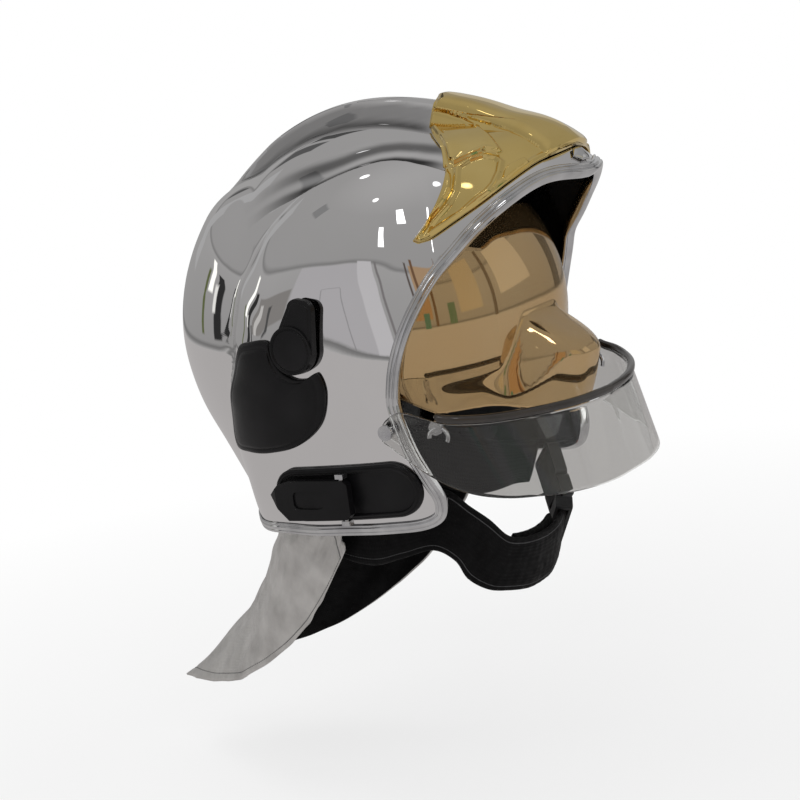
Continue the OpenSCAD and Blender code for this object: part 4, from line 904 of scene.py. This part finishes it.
def stitchRow(name, points, outward, length, finish, slot, thick=0.45):
    # one small capsule for each pair of points
    bm = bmesh.new()
    for a, b, n in zip(points[:-1], points[1:], outward):
        along = Vector(b - a)
        if along.length < 1e-6:
            continue
        x = along.normalized()
        z = Vector(n).normalized()
        y = z.cross(x).normalized()
        z = x.cross(y)
        mid = Vector((a + b) / 2)
        put = Matrix(((x.x, y.x, z.x, mid.x), (x.y, y.y, z.y, mid.y), (x.z, y.z, z.z, mid.z), (0, 0, 0, 1)))
        size = Matrix.Diagonal((length / 2, thick, thick * 0.8, 1))
        bmesh.ops.create_uvsphere(bm, u_segments=6, v_segments=4, radius=1.0,
                                  matrix=Matrix.Scale(0.001, 4) @ put @ size)
    finishPiece(bm, name, "helmet", finish, slot=slot)


def curtainStitches():
    # along the lower edge, down both ends, and a zigzag on the cross seam
    low, end = 1 - curtain["border"] / curtain["long"], curtain["reach"] - curtain["border"] / curtain["wide"]
    s = np.linspace(-0.96, 0.96, 300)
    rows = [(s, np.full(s.shape, low))]
    t = np.linspace(0.12, low, 70)
    rows += [(np.full(t.shape, sign * end), t) for sign in (-1, 1)]
    zig = np.linspace(-0.97, 0.97, 260)
    rows.append((zig, curtain["seam"] + 0.008 * np.where(np.arange(len(zig)) % 2, 1, -1)))
    return [(curtainAt(s, t, borderGroove(s, t) - 0.15, 1.0), -curtainFrame(s, t)) for s, t in rows]


for number, (p, n) in enumerate(curtainStitches()):
    stitchRow("curtainStitches_%d" % number, p, n, 2.2, "greyThread", "aluminised_cloth")
print("curtain made")

# padded chin strap and cup
strap = {"front": [[72, -50, -84], [79, -5, -89], [80, 38, -90], [77, 66, -88], [70, 80, -91],
                   [62, 90, -104], [52, 97.5, -116], [40, 102, -130], [28, 105, -135], [14, 108, -137],
                   [0, 108.5, -138]],
         "rear": [[71, -50, -112], [79, -12, -134], [80, 18, -141], [79, 42, -136], [75, 65, -131],
                  [68, 76, -140], [60, 79, -155], [48, 86, -166], [34, 93, -171], [16, 97.5, -175],
                  [0, 98, -176]],
         "width": 34.0, "thick": 6.0, "buckle": 0.5}


def strapFlat(u, v):
    i = np.maximum(0, (1 - np.abs(u)) * 10)
    a, b = curveAt(strap["front"], i), curveAt(strap["rear"], i)
    full = np.linalg.norm(a - b, axis=1)
    w = mix(full, strap["width"], ease(0.1, 0.3, u) * ease(0.95, 0.7, u))
    p = (a + b) / 2 + (a - b) * (v * w / 2 / full)[:, None]
    return stack(np.where(u < 0, -p[:, 0], p[:, 0]), -p[:, 1], p[:, 2])


def strapNormal(u, v):
    e = 0.012
    return unit(np.cross(strapFlat(u + e, v) - strapFlat(u - e, v), strapFlat(u, v + e) - strapFlat(u, v - e)))


def strapPiece(name, u0, u1, steps, replaced, thick=strap["thick"], off=0):
    def place(u, v):
        along = mix(u0, u1, u)
        turn = v * 2 * pi
        k = np.cos(turn)
        k = np.sign(k) * np.abs(k) ** 0.8
        puff = thick / 2 * (1 - 0.75 * np.abs(k) ** 5) - 0.55 * np.exp(-((np.abs(k) - 0.80) / 0.045) ** 2)
        puff = puff * (1 - 0.5 * np.exp(-(np.minimum(u, 1 - u) / 0.012) ** 2))
        crease = 0.35 * np.sin(along * 61 + k * 2.2) * (1 - np.abs(k)) + 0.2 * np.sin(along * 143 - k * 4)
        side = np.where(v <= 0.5, 1.0, -1.0)
        flat = np.clip(np.abs(np.sin(turn)) * 4, 0, 1)
        rise = off + side * flat * (puff + 0.4 * crease)
        return strapFlat(along, k) + strapNormal(along, k) * rise[:, None]

    piece = gridPiece(name, steps, 48, place, "helmet", "blackCloth", loops="v", caps=True,
                      replaced=[replaced], slot="padded_webbing", uv=(steps * 1.5, 90), sharp=80)


strapPiece("chinStrap_right", -1, strap["buckle"] - 0.145, 260, "chin_strap_right")
strapPiece("chinStrap_left", strap["buckle"] + 0.16, 1, 90, "chin_strap_left")
strapPiece("chinCup", -0.2, 0.2, 90, "chin_cup", strap["thick"] + 2, -strap["thick"] - 1.3)


def strapStitches(name, k):
    u = np.linspace(-0.98, 0.35, 210)
    v = np.full(u.shape, k)
    n = strapNormal(u, v)
    stitchRow(name, strapFlat(u, v) + n * 1.9, n, 2.0, "blackThread", "padded_webbing")


strapStitches("strapStitches_front", 0.80)
strapStitches("strapStitches_rear", -0.80)
print("chin strap made")

# pads and head harness
pad = {"centre": (10, -49), "voxel": 0.0045, "pressure": 4.0, "cap": 0.0016}
headTab = np.array([[-90, 90], [0, 104], [45, 116], [90, 121], [135, 115], [180, 105], [225, 100]], float)


def headReach(d, w=85.0):
    r = ringMean(sideAngle(-d[:, 1], d[:, 2]), headTab, 8)
    return 1 / ((np.abs(d[:, 0]) / w) ** 2.2 + (np.hypot(d[:, 1], d[:, 2]) / r) ** 2.2) ** (1 / 2.2)


def puffOut(piece, s):
    # the recipe for stuffed pieces: remesh, swell as cloth, cap the movement
    remesh = piece.modifiers.new("even", "REMESH")
    remesh.mode = "VOXEL"
    remesh.voxel_size = s["voxel"]
    keepEvaluated(piece)
    before = np.array([v.co[:] for v in piece.data.vertices])
    cloth = piece.modifiers.new("swell", "CLOTH")
    cloth.settings.use_pressure = True
    cloth.settings.uniform_pressure_force = s["pressure"]
    cloth.settings.effector_weights.gravity = 0
    cloth.point_cache.frame_start, cloth.point_cache.frame_end = 1, 20
    for number in range(1, 21):
        scene.frame_set(number)
    keepEvaluated(piece)
    scene.frame_set(1)
    after = np.array([v.co[:] for v in piece.data.vertices])
    move = after - before
    size = np.maximum(np.linalg.norm(move, axis=1, keepdims=True), 1e-9)
    after = before + move * np.minimum(1, s["cap"] / size)
    piece.data.vertices.foreach_set("co", after.ravel())
    soften = piece.modifiers.new("soften", "SUBSURF")
    soften.levels = soften.render_levels = 1


def keepEvaluated(piece):
    graph = bpy.context.evaluated_depsgraph_get()
    mesh = bpy.data.meshes.new_from_object(piece.evaluated_get(graph))
    piece.modifiers.clear()
    old = piece.data
    piece.data = mesh
    bpy.data.meshes.remove(old)
    mesh.polygons.foreach_set("use_smooth", [True] * len(mesh.polygons))


def stuffedPad(name, across, along, place, loops, replaced, finish="padCloth", slot="pad_cloth",
               swell=False):
    piece = gridPiece(name, across, along, place, "helmet", finish, loops=loops, caps=True,
                      replaced=[replaced], slot=slot, sharp=80)
    if swell:
        puffOut(piece, pad)


def roundProfile(section, v):
    # the rounded front of a pad over four fifths of the way round, then its flat back
    q = curveAt(section, np.clip(v / 0.8, 0, 1) * 6)
    back = mix(np.array([0.0, 1.0]), np.array([0.0, -1.0]), np.clip((v - 0.8) / 0.2, 0, 1)[:, None])
    return np.where((v <= 0.8)[:, None], q, back)


def cheekPad(side, word):
    prof = np.array([[0.05, 0.8], [0.4, 0.9], [0.7, 1.2], [0.86, 2], [0.95, 3.6], [0.99, 6.5], [0.95, 9.6],
                     [0.84, 11.8], [0.6, 13.0], [0.3, 13.5], [0.05, 13.6]])

    def place(u, v):
        t = 360 * u
        k = (np.abs(cosd(t)) ** 3 + np.abs(sind(t)) ** 3) ** (-1 / 3)
        q = curveAt(prof, v * (len(prof) - 1))
        f = pad["centre"][0] + 51 * q[:, 0] * k * cosd(t)
        h = pad["centre"][1] + 35 * q[:, 0] * k * sind(t)
        return stack(side * (101 - q[:, 1] - 0.0011 * (f - 10) ** 2), -f, h)

    stuffedPad("cheekPad_" + word, 72, 30, place, "u", "cheek_pad_" + word, swell=True)


def crownPad():
    prof = np.array([[1.5, 0.8], [10, 0.9], [20, 1.1], [26, 2], [28, 4.5], [26, 7.4], [19, 8.9], [10, 9.2],
                     [1.5, 9.2]])

    def place(u, v):
        q = curveAt(prof, v * (len(prof) - 1))
        t = 360 * u
        d = stack(sind(q[:, 0]) * cosd(t), sind(q[:, 0]) * sind(t), cosd(q[:, 0]))
        return d * (headReach(d) - 1.3 - q[:, 1])[:, None]

    stuffedPad("crownPad", 72, 26, place, "u", "crown_pad", swell=True)


band = {"a": 77.0, "b": 97.0, "high": 30.0, "low": -11.0, "thick": 2.0, "rack": 66.0, "napeY": 26.0,
        "napeZ": -36.0}


def browPad():
    section = np.array([[0, -1], [-0.55, -0.9], [-0.95, -0.45], [-1, 0], [-0.95, 0.45], [-0.55, 0.9], [0, 1]])

    def place(u, v):
        t = mix(-62, 62, u)
        e = 1 - (np.abs(t) / 63) ** 6
        w, h = 5.5 * e + 0.8, 16 * (0.75 + 0.25 * e)
        q = roundProfile(section, v)
        quilt = 0.5 * np.abs(sind(t * 6)) * (q[:, 0] < -0.3)
        o = stack((band["a"] - 0.3) * sind(t), -(band["b"] - 0.3) * cosd(t))
        d = stack(sind(t), -cosd(t))
        r = (q[:, 0] * w + 0.5 * quilt)[:, None]
        return np.concatenate([o + d * r, (band["low"] + 15 + q[:, 1] * h)[:, None]], 1)

    stuffedPad("browPad", 130, 40, place, "v", "brow_pad", "brownLeather", "brow_leather")


def napePad():
    section = np.array([[0, -1], [-0.6, -0.85], [-1, -0.4], [-1.02, 0], [-1, 0.4], [-0.6, 0.85], [0, 1]])

    def place(u, v):
        t = mix(30, -30, u)
        e = 1 - (np.abs(t) / 31) ** 4
        w, h = 5 * e + 0.8, 18 * (0.7 + 0.3 * e)
        q = roundProfile(section, v)
        r = band["rack"] - 3.7 + q[:, 0] * w
        return stack(r * sind(t), band["napeY"] + r * cosd(t), band["napeZ"] + q[:, 1] * h)

    stuffedPad("napePad", 80, 40, place, "v", "nape_pad")


def webbing():
    # two bands over the head, each with a thin stitched edge
    top = band["low"] + band["high"]

    def arm(name, reach, low, turn):
        def place(u, v):
            around = v * 360
            k, lift = cosd(around), np.where(v <= 0.5, 1.2, 0.0)
            groove = 0.15 * np.exp(-((np.abs(k) - 0.8) / 0.05) ** 2) * (v <= 0.5)
            lift = np.where(np.abs(k) > 0.999, 0.6, lift) - groove
            share = u * 1.3 - 0.15
            angle = np.clip(share, 0, 1) * 180 - 90
            r = reach + lift
            x = r * sind(angle)
            z = top + (103.5 - top + lift) * cosd(angle)
            drop = np.maximum(-share, 0) / 0.15 + np.maximum(share - 1, 0) / 0.15
            z = z - drop * (top - low)
            w = 10 * k
            return stack(x, w, z) if turn else stack(w, x, z)

        return gridPiece(name, 120, 24, place, "helmet", "blackWebbing", loops="v", caps=True,
                         uv=(400, 20), sharp=50, slot="webbing")

    wide = arm("crownWebbing_wide", band["a"] + band["thick"] + 0.3, top - 12, True)
    arm("crownWebbing_long", band["b"] + band["thick"] + 0.3, -13, False)
    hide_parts("crown_straps")


for side, word in ((1, "left"), (-1, "right")):
    cheekPad(side, word)
crownPad()
browPad()
napePad()
webbing()
print("pads and harness made")

# finishes for the CAD nodes that stay
nodeFinish = {"satinBlack": ["mask_latch_left", "mask_latch_right", "nape_housing", "ratchet_knob"],
              "mattBlack": ["headband", "strap_hangers", "pad_post_left", "pad_post_right", "visor_arm_left",
                            "visor_arm_right", "pivot_bush_left", "pivot_bush_right", "buckle_socket",
                            "buckle_plug", "strap_slider"],
              "greyPlastic": ["rack_left", "rack_right"],
              "redPlastic": ["buckle_button"],
              "beadFoam": ["impact_liner"],
              "brightSteel": ["ratchet_pinion", "pivot_bolt_left", "pivot_bolt_right", "latch_pin_left",
                              "latch_pin_right", "shield_clip_left", "shield_clip_right", "shield_pin_left",
                              "shield_pin_right", "curtain_studs", "strap_anchor_left", "strap_anchor_right"]}
for finish, names in nodeFinish.items():
    for name in names:
        node = nodes[name]
        if not node.material_slots:
            node.data.materials.append(makeFinish(finish))
        for slot in node.material_slots:
            slot.material = makeFinish(finish)
print("CAD nodes finished")

# studio: pale floor, white to the camera, soft panels and a plain room for the mirrors to show
studio = {"floorZ": -0.32, "floorSize": 3.2, "floorColor": 0.86, "fade": (0.45, 1.1), "whites": (0.72, 1.0),
          "mirrored": (0.47, 0.455, 0.45)}


def makeFloor(s):
    bm = bmesh.new()
    bmesh.ops.create_circle(bm, cap_ends=True, segments=96, radius=s["floorSize"])
    mesh = bpy.data.meshes.new("studioFloor")
    bmesh.ops.translate(bm, verts=bm.verts, vec=(0, 0, s["floorZ"]))
    bm.to_mesh(mesh)
    bm.free()
    floor = bpy.data.objects.new("studioFloor", mesh)
    scene.collection.objects.link(floor)
    mat = bpy.data.materials.new("studioFloor")
    mat.use_nodes = True
    tree = mat.node_tree
    tree.nodes.clear()
    out = tree.nodes.new("ShaderNodeOutputMaterial")
    matt = tree.nodes.new("ShaderNodeBsdfDiffuse")
    matt.inputs["Color"].default_value = (s["floorColor"],) * 3 + (1,)
    white = tree.nodes.new("ShaderNodeEmission")
    coords = tree.nodes.new("ShaderNodeTexCoord")
    length = tree.nodes.new("ShaderNodeVectorMath")
    length.operation = "LENGTH"
    tree.links.new(coords.outputs["Object"], length.inputs[0])
    fade = mapRange(tree, length.outputs["Value"], *s["fade"], *s["whites"])
    ray = tree.nodes.new("ShaderNodeLightPath")
    seen = tree.nodes.new("ShaderNodeMath")
    seen.operation = "MAXIMUM"
    tree.links.new(ray.outputs["Is Camera Ray"], seen.inputs[0])
    tree.links.new(ray.outputs["Is Transmission Ray"], seen.inputs[1])
    share = tree.nodes.new("ShaderNodeMath")
    share.operation = "MULTIPLY_ADD"
    tree.links.new(seen.outputs[0], share.inputs[0])
    tree.links.new(fade, share.inputs[1])
    tree.links.new(ray.outputs["Is Glossy Ray"], share.inputs[2])
    share.use_clamp = True
    # mirrors see a plain warm floor
    tone = mixColors(tree, ray.outputs["Is Glossy Ray"], (1, 1, 1), s["mirrored"])
    tree.links.new(tone, white.inputs["Color"])
    mixed = tree.nodes.new("ShaderNodeMixShader")
    tree.links.new(share.outputs[0], mixed.inputs[0])
    tree.links.new(matt.outputs[0], mixed.inputs[1])
    tree.links.new(white.outputs[0], mixed.inputs[2])
    tree.links.new(mixed.outputs[0], out.inputs["Surface"])
    mesh.materials.append(mat)


# room for the mirrors: greys by height, then boxes as (azimuth, half width, low, high, colour) and round lamps
room = {"soft": 0.55, "blur": 0.012, "bright": 3.0,
        "greys": [(0.0, 0.30), (0.36, 0.46), (0.445, 0.50), (0.4555, 0.16), (0.464, 0.33), (0.665, 0.38),
                  (0.675, 0.22), (0.69, 0.34), (0.90, 0.36), (1.0, 0.42)],
        "boxes": [(-112, 18, -0.085, 0.34, (0.44, 0.43, 0.44)), (-93, 5, -0.085, 0.36, (0.54, 0.53, 0.54)),
                  (-86, 1.0, -0.085, 0.36, (0.20, 0.19, 0.19)),
                  (-117.5, 0.4, -0.085, 0.15, (0.16, 0.16, 0.16)),
                  (-107.5, 0.4, -0.085, 0.15, (0.16, 0.16, 0.16)),
                  (-112.5, 5, 0.145, 0.155, (0.18, 0.18, 0.18)), (-143, 13, 0.02, 0.20, (0.24, 0.23, 0.22)),
                  (-150, 2.5, 0.02, 0.16, (0.55, 0.54, 0.52)), (-140, 1.5, 0.0, 0.14, (0.08, 0.08, 0.08)),
                  (-163, 3, -0.06, 0.22, (0.03, 0.03, 0.03)), (-166, 1.5, 0.05, 0.16, (0.9, 0.9, 0.86)),
                  (-171, 2.5, 0.12, 0.30, (1.3, 1.3, 1.22)), (-157, 1.2, -0.1, 0.1, (0.05, 0.05, 0.05)),
                  (-176, 1.5, -0.05, 0.2, (0.12, 0.14, 0.06)), (-80, 2.5, 0.48, 0.68, (3.0, 3.0, 3.0)),
                  (-58, 5, 0.70, 0.84, (4.0, 4.0, 4.0)), (-67, 1.0, -0.05, 0.42, (0.10, 0.08, 0.07)),
                  (-52, 13, -0.02, 0.40, (0.40, 0.27, 0.16)), (-62, 1.3, -0.1, 0.45, (0.16, 0.09, 0.05)),
                  (-36, 1.6, -0.1, 0.5, (0.15, 0.10, 0.06)), (-45, 3, -0.14, 0.06, (0.10, 0.22, 0.18)),
                  (-20, 4, -0.1, 0.14, (0.12, 0.2, 0.14)), (0, 12, 0.0, 0.5, (0.46, 0.42, 0.34)),
                  (24, 2, -0.2, 0.5, (0.14, 0.12, 0.1)), (45, 14, 0.05, 0.45, (0.55, 0.54, 0.52)),
                  (80, 6, -0.1, 0.4, (0.12, 0.12, 0.12)), (110, 10, 0.05, 0.40, (0.50, 0.50, 0.50)),
                  (132, 5, 0.40, 0.58, (0.07, 0.07, 0.07)), (-161, 7, 0.70, 0.79, (0.24, 0.24, 0.24)),
                  (143, 4, 0.36, 0.60, (0.10, 0.10, 0.10)), (158, 5, 0.1, 0.5, (0.42, 0.42, 0.42))],
        "lamps": [(156, 0.88, 1.5), (-113, 0.93, 1.5)]}


def makeWorld(s):
    world = bpy.data.worlds.new("studioRoom")
    scene.world = world
    world.use_nodes = True
    tree = world.node_tree
    tree.nodes.clear()

    def math(kind, *values):
        node = tree.nodes.new("ShaderNodeMath")
        node.operation = kind
        for i, item in enumerate(values):
            if isinstance(item, (int, float)):
                node.inputs[i].default_value = item
            else:
                tree.links.new(item, node.inputs[i])
        return node.outputs[0]

    coords = tree.nodes.new("ShaderNodeTexCoord")
    parts = tree.nodes.new("ShaderNodeSeparateXYZ")
    tree.links.new(coords.outputs["Generated"], parts.inputs[0])
    x, y, z = parts.outputs
    ramp = tree.nodes.new("ShaderNodeValToRGB")
    stops = ramp.color_ramp.elements
    for i, (place, grey) in enumerate(s["greys"]):
        stop = stops[i] if i < 2 else stops.new(place)
        stop.position = place
        stop.color = (grey, grey * 0.99, grey * 0.98, 1)
    tree.links.new(math("MULTIPLY_ADD", z, 0.5, 0.5), ramp.inputs[0])
    azimuth = math("ARCTAN2", x, math("MULTIPLY", y, -1.0))      # 0 looks out of the brow, left is positive
    color = ramp.outputs[0]
    for centre, width, low, high, tone in s["boxes"]:
        away = math("ABSOLUTE", math("WRAP", math("SUBTRACT", azimuth, radians(centre)), pi, -pi))
        within = math("MULTIPLY", math("SUBTRACT", radians(width), away), 1 / s["blur"])
        above = math("MULTIPLY", math("SUBTRACT", z, low), 1 / s["blur"])
        below = math("MULTIPLY", math("SUBTRACT", high, z), 1 / s["blur"])
        mask = math("MINIMUM", math("MINIMUM", within, above), below)
        mask.node.use_clamp = True
        color = mixColors(tree, mask, color, tone)
    for angle, height, wide in s["lamps"]:
        flat = (1 - height * height) ** 0.5
        toward = tree.nodes.new("ShaderNodeVectorMath")
        toward.operation = "DOT_PRODUCT"
        toward.inputs[1].default_value = (flat * sin(radians(angle)), -flat * cos(radians(angle)), height)
        tree.links.new(coords.outputs["Generated"], toward.inputs[0])
        glow = math("MULTIPLY", math("SUBTRACT", toward.outputs["Value"], cos(radians(wide * 1.6))), 1200)
        glow.node.use_clamp = True
        color = mixColors(tree, glow, color, (s["bright"],) * 3)
    mirror = tree.nodes.new("ShaderNodeBackground")
    tree.links.new(color, mirror.inputs["Color"])
    soft, white = tree.nodes.new("ShaderNodeBackground"), tree.nodes.new("ShaderNodeBackground")
    for node, strength in ((soft, s["soft"]), (white, 1.0)):
        node.inputs["Color"].default_value = (1, 1, 1, 1)
        node.inputs["Strength"].default_value = strength
    ray = tree.nodes.new("ShaderNodeLightPath")
    first = tree.nodes.new("ShaderNodeMixShader")
    tree.links.new(ray.outputs["Is Glossy Ray"], first.inputs[0])
    tree.links.new(soft.outputs[0], first.inputs[1])
    tree.links.new(mirror.outputs[0], first.inputs[2])
    second = tree.nodes.new("ShaderNodeMixShader")
    seen = math("MAXIMUM", ray.outputs["Is Camera Ray"], ray.outputs["Is Transmission Ray"])
    tree.links.new(seen, second.inputs[0])
    tree.links.new(first.outputs[0], second.inputs[1])
    tree.links.new(white.outputs[0], second.inputs[2])
    out = tree.nodes.new("ShaderNodeOutputWorld")
    tree.links.new(second.outputs[0], out.inputs["Surface"])


lamps = {"key": {"place": (-1.7, -0.5, 1.7), "size": (1.5, 1.1), "power": 11},
         "fill": {"place": (0.7, -2.0, 0.9), "size": (1.2, 1.2), "power": 6},
         "ceiling": {"place": (-0.3, 0.5, 2.2), "size": (1.6, 0.5), "power": 8},
         "spot": {"place": (-1.2, -1.6, 1.9), "size": (0.25, 0.25), "power": 2.0}}


def makeLamp(name, s):
    data = bpy.data.lights.new(name, "AREA")
    data.shape = "RECTANGLE"
    data.size, data.size_y = s["size"]
    data.energy = s["power"]
    lamp = bpy.data.objects.new(name, data)
    lamp.visible_glossy = False      # the mirrors show the room instead
    place = Vector(s["place"])
    lamp.matrix_world = Matrix.Translation(place) @ (-place).to_track_quat("-Z", "Y").to_matrix().to_4x4()
    scene.collection.objects.link(lamp)


makeFloor(studio)
makeWorld(room)
for name, settings in lamps.items():
    makeLamp(name, settings)
print("studio made")
